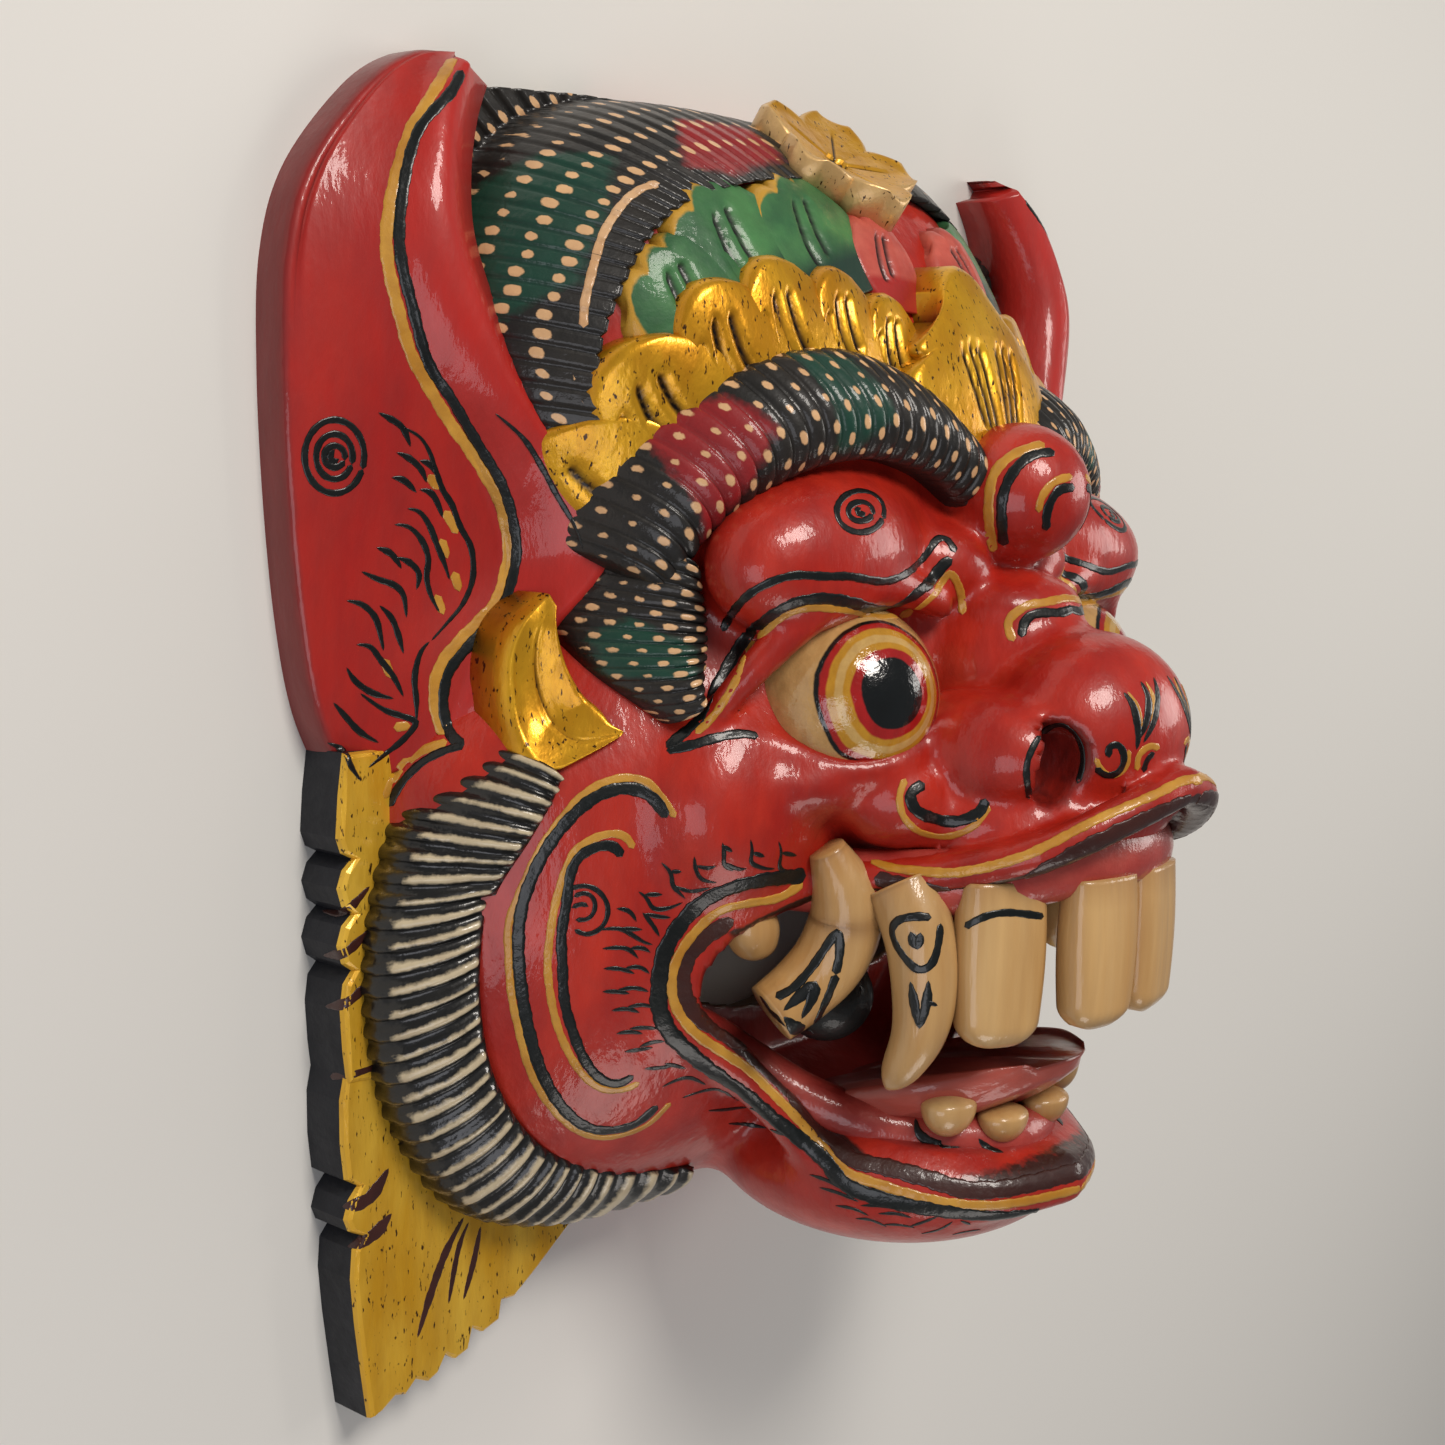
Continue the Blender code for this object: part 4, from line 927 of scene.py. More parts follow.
def ballMesh(name, centre, radii, fields, rows=64, columns=96, mirror=False):
    # a round solid, where fields maps a name to a function of the unit directions over it
    theta = np.linspace(0.0, np.pi, rows)[:, None]
    phi = np.linspace(0.0, 2.0 * np.pi, columns + 1)[None, :-1]
    unit = np.stack((np.sin(theta) * np.cos(phi), np.sin(theta) * np.sin(phi), np.cos(theta) + 0.0 * phi),
                    axis=-1)
    values = {key: rule(unit) for key, rule in fields.items()}
    points = vec(*centre) + unit * vec(*radii)
    if mirror:
        points = points * vec(-1, 1, 1)
    quads = gridQuads(rows, columns, closed=True)
    if not mirror:
        quads = quads[:, ::-1]
    flat = points.reshape(-1, 3)
    if not mirror:
        carry(flat, quads)
    return buildMesh(name, flat, quads, values)


eye = {"centre": (-0.0600, 0.0210, 0.0970), "radius": 0.0290, "gaze": (-0.375, 0.145, 0.916)}


def eyeTurn(unit):
    gaze = vec(*eye["gaze"])
    gaze = gaze / np.linalg.norm(gaze)
    return np.arccos(np.clip(unit @ gaze, -1.0, 1.0)) * eye["radius"]


# Painted eye: rings in hand-mixed colours round a black pupil, each with a slightly uneven edge
rings = (("black", 0.0, "#0b0f10"), ("red", 0.0106, "#a51a1a"), ("ochre", 0.0136, "#c08c26"),
         ("cream", 0.0158, "#cba663"), ("ochre", 0.0184, "#c08c26"), ("red", 0.0208, "#a81f1b"),
         ("black", 0.0228, "#10110f"), ("sclera", 0.0243, "#c8a066"))


def makeEyePaint():
    material = woodPaint("varnished eye paint", "#0b0f10", "#101516", rough=0.16, coat=1.0)
    tree = material.node_tree
    shader = tree.nodes["Principled BSDF"]
    place = addNode(tree, "ShaderNodeTexCoord").outputs["Object"]
    wobble = sumOf(tree, sumOf(tree, noise(tree, place, 90.0, 3.0), 0.5, "SUBTRACT"), 0.0026, "MULTIPLY")
    level = sumOf(tree, attribute(tree, "turn"), wobble)
    shade = noise(tree, place, 260.0, 4.0, (1.0, 0.5, 1.0))
    colour = linear(rings[0][2])
    for _, start, tint in rings[1:]:
        colour = mixColours(tree, stepped(tree, level, start - 0.00025, start + 0.00025), colour, linear(tint))
    colour = mixColours(tree, stepped(tree, shade, 0.25, 0.75), colour, [0.72, 0.66, 0.58, 1.0], "MULTIPLY")
    tree.links.new(colour, shader.inputs["Base Color"])
    return material


eyePaint = makeEyePaint()
for side, mirrored in (("Left", False), ("Right", True)):
    addPiece("eye" + side, ballMesh("eye" + side, eye["centre"], (eye["radius"],) * 3, {"turn": eyeTurn},
                                    mirror=mirrored), eyePaint)


def tubeSolid(name, points, radii, material, up=(0, 1, 0), flatten=1.0, mirror=False, rings=40, sides=28,
              blunt=0.0, taper=1.0):
    # round-sectioned solid along a smooth curve, closed at both ends
    shares = np.linspace(0.0, 1.0, rings)
    path = curveAt(points, shares)
    size = widthAt(radii, shares)
    if blunt:
        size = size * (1.0 - (1.0 - np.minimum(1.0, (1.0 - shares) / blunt)) ** 2.4 * taper)
    along = unitRows(np.gradient(path, axis=0))
    across = unitRows(np.cross(along, vec(*up)))
    rise = np.cross(across, along)
    angle = np.linspace(0.0, 2.0 * np.pi, sides + 1)[None, :-1, None]
    ring = across[:, None, :] * np.cos(angle) + rise[:, None, :] * np.sin(angle) * flatten
    shell = path[:, None, :] + ring * size[:, None, None]
    ends = np.concatenate((np.repeat(path[:1, None, :], sides, axis=1), shell,
                           np.repeat(path[-1:, None, :], sides, axis=1)))
    flat = ends.reshape(-1, 3)
    share = np.repeat(np.concatenate(([0.0], shares, [1.0])), sides)
    quads = gridQuads(rings + 2, sides, closed=True)
    if not mirror:
        carry(flat, quads)
    else:
        flat = flat * vec(-1, 1, 1)
        quads = quads[:, ::-1]
    # darker towards the root end
    fields = {"toothDarkening": np.maximum(0.25 - share * 1.6, 0.0) - 0.35}
    addPiece(name, buildMesh(name, flat, quads, fields), material)


def both(make, name, *rest, **more):
    make(name + "Left", *rest, mirror=False, **more)
    make(name + "Right", *rest, mirror=True, **more)


both(tubeSolid, "tusk", mm3(-74.5, -22.5, 103.5, -70, -34, 106.5, -67.5, -45, 106.5, -70, -57, 103,
                            -76.5, -66, 98, -85, -73, 93), mm(5.6, 9.4, 11.2, 11.2, 10.4, 9.6), ivoryPaint)
both(tubeSolid, "canine", mm3(-59.5, -33, 120, -59, -46, 127, -59, -62, 130, -60.5, -78, 129,
                              -64, -94.5, 121.5), mm(10.8, 10.8, 10, 8, 4.4), ivoryPaint,
     up=(1, 0, 0), blunt=0.14, taper=0.8)
both(tubeSolid, "molar", mm3(-85, -43, 80, -83, -50, 83, -80, -58, 82), mm(8.8, 8.6, 5.6), ivoryPaint,
     up=(1, 0, 0), blunt=0.3, taper=0.7)


def tooth(name, x, z, swing, tall, mirror=False):
    # broad front tooth, flat at the sides, rounded at its lower corners
    s, v = shareGrid(36, 29)
    half, height, depth = 0.0144, 0.0440 * tall, 0.0070
    wide = half * (0.88 + 0.12 * np.sin(np.pi * np.minimum(s * 0.85 + 0.15, 1.0)))
    corner = np.maximum(0.0, (s - 0.87) / 0.13)
    wide = wide * np.sqrt(np.maximum(1.0 - (corner * 0.66) ** 2.2, 0.05))
    low = -height * (s - 0.035 * np.abs(v) ** 3 * s)
    bulge = np.sqrt(np.maximum(1.0 - 0.86 * np.abs(v) ** 4.0, 0.0))
    thick = depth * (0.95 + 0.12 * np.sin(np.pi * s)) * (1.0 - 0.55 * corner ** 2.0) * bulge
    front = np.stack((v * wide, low, thick), axis=-1)
    back = np.stack((v * wide, low, -thick), axis=-1)
    place = np.array(Matrix.Rotation(-swing, 3, "Y"))
    spot = vec(-x, -0.0300, z)
    front = front @ place.T + spot
    back = back @ place.T + spot
    # darker towards the root and at the far sides
    toothDarkening = np.maximum(0.30 - s * 1.5, 0.10 * (np.abs(v) ** 6)) - 0.35 + 0.0 * v
    if not mirror:
        leftCarrier(front)
    addPiece(name, shellMesh(name, front, back, {"toothDarkening": toothDarkening}, mirror, False), ivoryPaint)


both(tooth, "innerTooth", 0.0148, 0.1620, 0.16, 1.06)
both(tooth, "outerTooth", 0.0425, 0.1450, 0.48, 1.15)


def lowerTooth(name, centre, radii, mirror=False, material=ivoryPaint, flat=1.0):
    # a ball whose half above the middle may be pressed flat
    # darker on the lower side, towards the root
    mesh = ballMesh(name, centre, radii, {"toothDarkening": lambda unit: -0.30 - 0.3 * unit[..., 1]}, 30, 40, mirror)
    middle = centre[1] - originShift
    for vertex in mesh.vertices:
        vertex.co.y = min(vertex.co.y, middle + (vertex.co.y - middle) * flat)
    addPiece(name, mesh, material)


both(lowerTooth, "lowerInnerTooth", (-0.0125, -0.1128, 0.1308), (0.0096, 0.0086, 0.0074), flat=0.4)
both(lowerTooth, "lowerOuterTooth", (-0.0315, -0.1066, 0.1226), (0.0104, 0.0102, 0.0080), flat=0.4)
both(lowerTooth, "mouthKnob", (-0.0480, -0.0760, 0.0860), (0.0160, 0.0140, 0.0140), material=mouthPaint)


def makeGum():
    half = mm3(-74, -34, 82, -60, -34, 112, -46, -31, 138.5, -26, -26.5, 156, 0, -24.5, 162.5)
    path = np.concatenate((half, half[-2::-1] * vec(-1, 1, 1)))
    tubeSolid("gum", path, (0.0080,) * 9, pinkLine, flatten=1.3, rings=80, sides=20)
    low = mm3(-94, -68, 50, -88, -78, 56, -76, -87, 62, -64, -98, 70, -53, -109, 83, -40, -116.5, 100, -20,
        -121, 121, 0, -122.5, 129)
    size = mm(4, 5, 6, 7, 7.8, 8.2, 8.5)
    path = np.concatenate((low, low[-2::-1] * vec(-1, 1, 1)))
    tubeSolid("lowerGum", path, np.concatenate((size, mm(8.6), size[::-1])), pinkLine, rings=120, sides=20)


def makeTongue():
    # it lies in the lower jaw, with a groove down its middle and a pale rolled edge
    s, v = shareGrid(50, 41)
    spine = curveAt(mm3(0, -121, 50, 0, -110, 78, 0, -101, 104, 0, -95.5, 128, 0, -92.5, 148.5), s[:, 0])
    half = widthAt(mm(50, 49, 47, 41, 21), s)
    thick = widthAt(mm(16, 18, 18, 16, 8), s)
    x = v * half
    y = spine[:, 1][:, None] - 0.0035 * v * v - 0.0024 * np.exp(-(v * half / 0.004) ** 2) * (1.0 - s ** 4)
    y = y + 0.0022 * np.exp(-((np.abs(v) - 0.86) / 0.10) ** 2)
    z = spine[:, 2][:, None] + 0.0 * v - 0.010 * v * v * s
    rolled = np.sqrt(np.maximum(1.0 - np.abs(v) ** 5, 0.0)) * np.sqrt(np.maximum(1.0 - s ** 10, 0.0))
    top = np.stack((x + 0.0 * z, y + 0.0 * z, z), axis=-1)
    under = np.stack((x * 0.96 + 0.0 * z, y - thick * (0.25 + 0.75 * rolled), z - 0.001), axis=-1)
    edge = np.maximum(np.abs(v) - 0.62, s - 0.86) + 0.0 * z
    leftCarrier(top)
    addPiece("tongue", shellMesh("tongue", top, under, {"edge": edge * 1.4}), tonguePaint)


makeGum()
makeTongue()


def outlineSolid(name, outline, high, material, sideMaterial):
    # flat carved board with a rolled upper edge, whose sawn side has its own paint
    for mirror in (False, True):
        label = name + ("Right" if mirror else "Left")
        ring = outline * (vec(-1, 1) if mirror else 1.0)
        middle = ring.mean(axis=0)
        count = len(ring)
        following = np.roll(ring, -1, axis=0) - np.roll(ring, 1, axis=0)
        size = np.maximum(np.linalg.norm(following, axis=1), 1e-9)[:, None]
        inward = np.stack((-following[:, 1], following[:, 0]), axis=1) / size
        if ((middle - ring) * inward).sum() < 0.0:
            inward = -inward
        layers = []
        for inset, z in ((0.0, 0.0), (0.0, high - 0.0022), (0.0005, high - 0.0008), (0.0016, high)):
            layers.append(np.column_stack((ring + inward * inset, np.full(count, z))))
        points = np.concatenate(layers)
        mesh = bpy.data.meshes.new(label)
        quads = gridQuads(4, count, closed=True)
        faces = [tuple(q) for q in quads]
        faces.append(tuple(range(3 * count, 4 * count)))
        faces.append(tuple(range(count - 1, -1, -1)))
        area = (ring[:, 0] * np.roll(ring[:, 1], -1) - ring[:, 1] * np.roll(ring[:, 0], -1)).sum()
        if area < 0.0:
            faces = [tuple(reversed(f)) for f in faces]
        moved = points - vec(0, originShift, 0)
        mesh.from_pydata([tuple(p) for p in moved], [], faces)
        layer = mesh.attributes.new("shadedCut", "FLOAT", "POINT")
        layer.data.foreach_set("value", np.full(len(points), -1.0, dtype=np.float32))
        addPiece(label, mesh, material)
        mesh.materials.append(sideMaterial)
        for polygon in mesh.polygons:
            if polygon.index < count or polygon.index == len(faces) - 1:
                polygon.material_index = 1
        if not mirror:
            carry(points, quads)
            fan = np.stack([np.arange(count), np.roll(np.arange(count), -1),
                            np.full(count, count), np.full(count, count)], axis=1)
            carry(np.concatenate((layers[-1], [[*middle, high]])), fan)


upperLeaf = mm2(-185, 6, -186.5, -6, -187.2, -18, -185.5, -22.5, -181.5, -24.5, -185, -27.5, -186.8, -32.5,
    -185, -38, -181.5, -40.5, -185, -43.5, -186.8, -49, -185, -54.5, -181.5, -57, -184.5, -60.5, -185.5,
    -68, -184.5, -80, -183, -90, -150, -92, -140, 6)
outlineSolid("upperLeaf", upperLeaf, 0.0180, paintedLitGold, sidePaint)
lowerLeaf = mm2(-182.5, -84, -184.8, -95, -184.5, -108, -183, -119, -178.2, -122, -181.5, -125.5, -183.2,
    -131, -181.5, -135, -177, -137.5, -180, -141, -180.6, -150, -179, -164, -176.5, -180, -174, -195, -169,
    -194.5, -164, -191.5, -160, -192.5, -156, -189, -151, -191.5, -147, -190, -144, -185, -140, -188,
    -134.5, -186.5, -133, -180, -128.5, -183, -121.5, -181, -120.5, -175, -115, -175.5, -105, -169, -90,
    -158, -90, -130, -140, -100, -150, -84)
outlineSolid("lowerLeaf", lowerLeaf, 0.0170, paintedLitGold, sidePaint)


print("painting the lines")

# Where the photo's camera stood, by its axes and its focal length in pixels
view = {"position": (-0.53694, 0.08784, 0.44875), "right": (0.64392, 0.02770, 0.76459),
        "up": (0.07953, 0.99151, -0.10289), "forward": (0.76095, -0.12706, -0.63625)}
photo = {"focal": 1976.0, "middle": 722.0}

# Painted lines as a width in mm and brush paths, each one column and row after another in photo pixels
ochreLines = {
    "earLine": (2.8, (452, 58, 439, 81, 423, 107, 409, 132, 392, 190, 386, 250, 400, 318, 413, 359, 436,
        400, 452, 426, 470, 451, 485, 477, 498, 499, 505, 528, 507, 553, 503, 579, 495, 602, 480, 619, 462,
        637, 444, 658, 435, 678, 434, 701, 438, 721, 444, 734)),
    "earLoop": (2.4, (447, 741, 424, 749, 406, 762, 393, 778, 384, 798)),
    "earEmber": (2.2, (428, 474, 438, 489), (444, 510, 457, 533), (440, 538, 447, 558), (453, 571, 459,
        591), (435, 594, 443, 614), (383, 658, 391, 678), (393, 727, 410, 725)),
    "cheekOuter": (1.9, (675, 817, 664, 801, 649, 783, 629, 777, 606, 781, 583, 794, 562, 817, 539, 850,
        519, 893, 508, 924, 508, 957, 511, 995, 519, 1033, 529, 1069, 547, 1102, 573, 1128, 598, 1137, 624,
        1134, 649, 1123, 670, 1102)),
    "cheekInner": (1.9, (633, 848, 626, 837, 613, 833, 593, 838, 575, 850, 565, 870, 556, 898, 550, 931,
        547, 964, 550, 995, 557, 1026, 570, 1056, 585, 1077, 603, 1089, 624, 1089, 639, 1082)),
    "mouthRim": (2.6, (802, 882, 779, 897, 746, 903, 718, 911, 695, 931, 677, 957, 671, 985, 677, 1010, 695,
        1033, 721, 1051, 746, 1067, 769, 1089, 797, 1118, 824, 1149, 837, 1164, 850, 1174, 876, 1183, 914,
        1195, 952, 1203, 990, 1205, 1018, 1202, 1040, 1198, 1062, 1193, 1078, 1189, 1094, 1184)),
    "upperLip": (2.4, (871, 860, 892, 867, 926, 871, 956, 872, 989, 866, 1025, 855, 1050, 843, 1100, 817,
        1150, 796, 1183, 780, 1203, 779)),
    "browLower": (2.0, (695, 733, 714, 714, 727, 694, 737, 676, 745, 653, 760, 635, 781, 617, 806, 608, 832,
        608, 850, 610, 881, 616, 909, 612, 932, 596, 949, 573, 960, 591, 962, 614)),
    "ballOuter": (2.7, (1044, 443, 1026, 448, 1008, 457, 993, 474, 988, 502, 989, 528, 993, 551)),
    "ballInner": (2.0, (1072, 476, 1054, 481, 1041, 497, 1038, 512)),
    "bridgeCurl": (2.2, (1081, 596, 1062, 598, 1044, 602, 1029, 604, 1013, 614, 1007, 624, 1013, 641)),
    "noseFlame": (1.4, (1127, 691, 1138, 709, 1141, 732), (1145, 681, 1154, 701, 1150, 729)),
    "noseScroll": (1.4, (1095, 757, 1101, 770, 1114, 776, 1127, 765, 1128, 749)),
    "noseSmile": (1.8, (1137, 770, 1138, 755, 1150, 745, 1159, 748)),
    "apple": (1.7, (905, 778, 899, 796, 903, 816, 920, 832, 948, 836, 974, 825, 989, 805)),
}
blackLines = {
    "earLine": (2.6, (462, 70, 451, 91, 432, 111, 416, 134, 404, 180, 399, 245, 413, 310, 428, 362, 452,
        400, 467, 426, 482, 451, 498, 477, 508, 502, 514, 528, 516, 553, 510, 584, 500, 609, 482, 630, 464,
        650, 449, 670, 443, 693, 444, 716, 452, 737, 464, 743)),
    "earLoop": (2.2, (464, 744, 444, 750, 424, 760, 408, 774, 396, 790, 389, 806)),
    "earFlame": (1.5, (378, 412, 393, 420, 403, 428, 410, 446), (403, 427, 419, 436, 429, 451, 435, 469,
        442, 489, 452, 505, 459, 525, 470, 545, 473, 566, 471, 584, 462, 604, 448, 621, 431, 640), (396,
        452, 408, 457, 421, 469, 426, 482), (419, 460, 431, 464, 438, 477), (391, 477, 403, 479, 416, 492),
        (419, 489, 431, 492, 439, 507, 442, 517), (407, 508, 419, 511, 429, 525, 436, 543, 444, 563, 449,
        579), (394, 524, 408, 526, 421, 539, 428, 558, 426, 576, 430, 594, 439, 612), (376, 547, 391, 553,
        401, 568), (396, 557, 408, 561, 419, 573, 416, 589), (361, 571, 378, 579, 393, 584, 403, 594, 406,
        617), (346, 600, 362, 604, 375, 617, 380, 635, 383, 650), (379, 605, 391, 617, 398, 635, 403, 653),
        (356, 644, 370, 646, 379, 658, 393, 676, 403, 696), (346, 667, 355, 681, 373, 693, 393, 698), (333,
        702, 345, 716, 360, 732, 378, 742), (429, 641, 421, 650, 416, 665, 414, 681, 416, 701, 416, 721),
        (360, 693, 383, 709, 403, 716, 416, 722, 403, 739, 383, 755, 368, 767), (327, 742, 342, 749, 350,
        765, 360, 780)),
    "earHairEdge": (1.4, (495, 413, 523, 438, 541, 466, 556, 494, 574, 525, 582, 548)),
    "cheekOuter": (3.0, (667, 817, 654, 799, 639, 790, 619, 788, 596, 796, 573, 814, 550, 842, 532, 875,
        520, 913, 518, 957, 523, 1003, 531, 1041, 542, 1074, 560, 1105, 583, 1125, 608, 1130, 636, 1123,
        657, 1105)),
    "cheekInner": (2.5, (622, 856, 613, 846, 598, 846, 580, 855, 570, 873, 566, 903, 561, 934, 562, 964,
        564, 1000, 573, 1033, 585, 1061, 601, 1079, 619, 1083, 633, 1075)),
    "cheekCoilOuter": (1.2, (571, 888, 583, 885, 596, 889, 606, 901, 607, 916, 599, 929, 585, 934, 574,
        929)),
    "cheekCoilMiddle": (1.1, (573, 896, 585, 892, 594, 899, 594, 911, 587, 919, 575, 919)),
    "cheekCoilInner": (1.1, (571, 907, 582, 903, 588, 906)),
    "mouthHair": (1.1, (691, 849, 693, 850), (694, 856, 695, 868, 701, 879, 716, 882), (695, 865, 708, 868,
        716, 865), (722, 842, 724, 855, 723, 865, 733, 870), (721, 845, 732, 851), (723, 862, 738, 869, 746,
        868), (750, 839, 752, 852, 750, 862, 764, 868, 774, 868), (752, 852, 764, 856), (778, 841, 781, 852,
        779, 868, 795, 873, 805, 874), (781, 852, 796, 855), (661, 862, 671, 873, 672, 885, 685, 898), (670,
        871, 681, 871), (673, 885, 690, 891, 710, 887), (638, 891, 647, 898, 652, 908, 667, 908, 682, 902),
        (644, 894, 662, 894), (616, 908, 629, 910, 636, 921), (642, 912, 652, 924, 659, 936), (644, 913,
        657, 916, 670, 917), (598, 929, 619, 928, 631, 934, 644, 942, 652, 944), (619, 928, 642, 929), (602,
        948, 619, 947, 629, 949, 638, 958), (629, 948, 642, 947, 650, 952), (603, 968, 619, 968, 634, 973),
        (624, 968, 639, 966, 649, 973), (602, 991, 616, 991, 629, 993), (616, 990, 634, 987, 648, 991),
        (611, 1010, 626, 1008, 639, 1012), (626, 1007, 642, 1004, 653, 1007), (616, 1033, 629, 1031, 642,
        1033), (629, 1028, 644, 1027, 657, 1028), (624, 1051, 639, 1049, 652, 1047), (639, 1046, 654, 1041,
        664, 1041), (644, 1068, 662, 1067, 675, 1064), (664, 1063, 675, 1065, 685, 1068), (662, 1086, 677,
        1079, 690, 1077, 705, 1084), (682, 1097, 700, 1091, 718, 1089, 738, 1100), (708, 1110, 726, 1109,
        746, 1107, 767, 1114), (728, 1123, 746, 1124, 767, 1128, 784, 1135)),
    "chinHair": (1.0, (809, 1174, 827, 1180, 845, 1190), (819, 1187, 837, 1192, 858, 1201), (860, 1205, 878,
        1205, 901, 1208), (878, 1213, 896, 1213, 911, 1217), (909, 1226, 924, 1221, 937, 1216), (921, 1233,
        939, 1229, 952, 1221), (952, 1234, 965, 1231, 980, 1229), (960, 1220, 970, 1224), (835, 1205, 853,
        1208, 868, 1215), (883, 1224, 898, 1224, 914, 1227), (855, 1218, 870, 1219, 886, 1226)),
    "mouthRim": (4.3, (805, 875, 767, 879, 733, 887, 703, 901, 680, 924, 664, 952, 659, 980, 659, 1008, 670,
        1033, 693, 1056, 716, 1074, 746, 1095, 772, 1118, 819, 1154, 835, 1174, 850, 1187, 876, 1197, 914,
        1206, 952, 1212, 990, 1216, 1018, 1214, 1040, 1210, 1062, 1205, 1078, 1201, 1094, 1196)),
    "toothRoots": (1.8, (960, 929, 982, 917, 1007, 912, 1043, 916)),
    "lowerToothShade": (2.4, (915, 1118, 919, 1134, 937, 1144, 960, 1147)),
    "lowerToothShadeEnd": (1.8, (978, 1138, 985, 1146, 1003, 1152)),
    "canineRing": (2.0, (931, 917, 915, 916, 897, 920, 891, 932, 900, 952, 917, 969, 931, 964, 938, 944,
        940, 923)),
    "canineHeartLeft": (2.6, (910, 931, 913, 940, 917, 949)),
    "canineHeartRight": (2.2, (920, 932, 919, 940, 917, 949)),
    "canineMarkLeft": (2.4, (910, 981, 914, 1005, 919, 1028)),
    "canineMarkRight": (2.4, (928, 980, 926, 1003, 919, 1028)),
    "canineMarkBarb": (1.0, (926, 1001, 937, 1005)),
    "tuskOuter": (2.2, (775, 997, 793, 987, 811, 967, 829, 941, 838, 932, 839, 954, 835, 974)),
    "tuskOuterEnd": (2.2, (836, 974, 826, 1000, 813, 1026)),
    "tuskWedgeLong": (3.0, (783, 1010, 798, 997, 813, 985, 811, 1000, 801, 1018)),
    "tuskEnd": (3.6, (761, 996, 772, 1013, 793, 1027, 813, 1033)),
    "browUpper": (2.0, (722, 631, 730, 615, 745, 597, 765, 584, 793, 575, 827, 576, 850, 576, 883, 581, 906,
        573, 924, 556, 937, 538, 947, 539, 955, 552)),
    "browLower": (3.0, (666, 747, 679, 736, 699, 717, 714, 691, 727, 666, 745, 638, 768, 617, 793, 603, 821,
        598, 850, 602, 876, 609, 901, 603, 927, 584, 944, 563, 952, 559)),
    "lidCorner": (2.4, (666, 750, 689, 745, 717, 737, 742, 733, 758, 736)),
    "ballOuter": (2.7, (1054, 451, 1029, 456, 1011, 474, 1002, 497, 1001, 517, 1003, 545)),
    "ballInner": (2.4, (1074, 487, 1059, 489, 1050, 502, 1046, 515, 1046, 530)),
    "bridgeCurl": (2.4, (1080, 604, 1062, 612, 1044, 612, 1030, 615, 1023, 624, 1021, 637)),
    "noseFlame": (2.2, (1123, 692, 1133, 706, 1138, 732, 1136, 749), (1140, 681, 1148, 698, 1146, 721, 1138,
        739)),
    "noseFlameEnd": (2.0, (1153, 677, 1157, 693, 1154, 719, 1143, 742)),
    "noseScroll": (1.8, (1095, 767, 1105, 775, 1118, 772, 1124, 757, 1118, 744, 1108, 747, 1109, 757)),
    "noseSmile": (1.8, (1143, 772, 1146, 760, 1154, 752)),
    "nostrilRim": (1.6, (1029, 798, 1026, 767, 1034, 744, 1046, 729, 1060, 724, 1073, 732, 1081, 747, 1082,
        765, 1077, 783)),
    "apple": (2.8, (924, 783, 910, 793, 915, 809, 933, 818, 956, 821, 979, 812, 985, 798)),
}
brownLines = {
    "leafMark": (2.4, (322, 910, 338, 912, 352, 905, 369, 886), (323, 955, 340, 954, 353, 946, 370, 928),
        (325, 1006, 342, 1004, 356, 995, 371, 976)),
    "leafMarkLow": (3.6, (342, 1206, 360, 1203, 374, 1192, 388, 1168), (347, 1246, 364, 1240, 378, 1230,
        391, 1213)),
    "leafMarkLong": (2.6, (463, 1217, 446, 1250, 432, 1288, 417, 1337)),
    "leafMarkThin": (1.8, (468, 1222, 458, 1248, 448, 1303)),
    "leafMarkEnd": (2.0, (480, 1226, 473, 1262, 463, 1299)),
    "leafJoint": (1.6, (330, 1076, 352, 1074, 376, 1066)),
    "mouthRim": (4.6, (733, 919, 703, 939, 685, 962, 682, 990, 695, 1013, 721, 1031, 746, 1046, 772, 1069,
        792, 1097, 807, 1123, 835, 1141, 850, 1158, 888, 1167, 927, 1178, 965, 1189, 1003, 1188, 1034, 1182,
        1066, 1174, 1092, 1166)),
    "upperLip": (4.4, (874, 877, 905, 886, 943, 891, 982, 889, 1020, 880, 1050, 866, 1100, 840, 1150, 817,
        1190, 800)),
}
creamLines = {
    "hairArc": (2.1, (659, 183, 643, 187, 627, 198, 614, 214, 602, 235, 595, 258, 589, 281, 584, 304, 583,
        327)),
}
# Rings and coils: middle, half sizes of each ring in photo pixels, width in mm
coils = {
    "earCoil": ((334, 456), ((30, 37), (18.5, 23), (11, 11.5), (5, 7)), 1.5),
    "browCoil": ((860, 511), ((24, 21), (13, 10), (5, 3.5)), 1.6),
}

faceSkin = BVHTree.FromPolygons(facePoints.tolist(), faceQuads.tolist())
skin = BVHTree.FromPolygons(np.concatenate([p for p, _ in carriers]).tolist(),
                            np.concatenate([q for _, q in carriers]).tolist())


# A line may run past the middle by the reach, and breaks where the carving drops by more than the jump. It is
# sampled each few pixels and then each step, its ring hugs carving that is near enough, its sides sink in and
# its root goes deeper. A stroke shorter than the shortest is left out, and all are drawn wider by the widening.
brushing = {"middleReach": 0.0035, "jump": 0.007, "pixels": 3.0, "step": 0.0009, "near": 0.0035,
            "sink": 0.00004, "root": 0.0004, "shortest": 0.0012, "widening": 1.3}


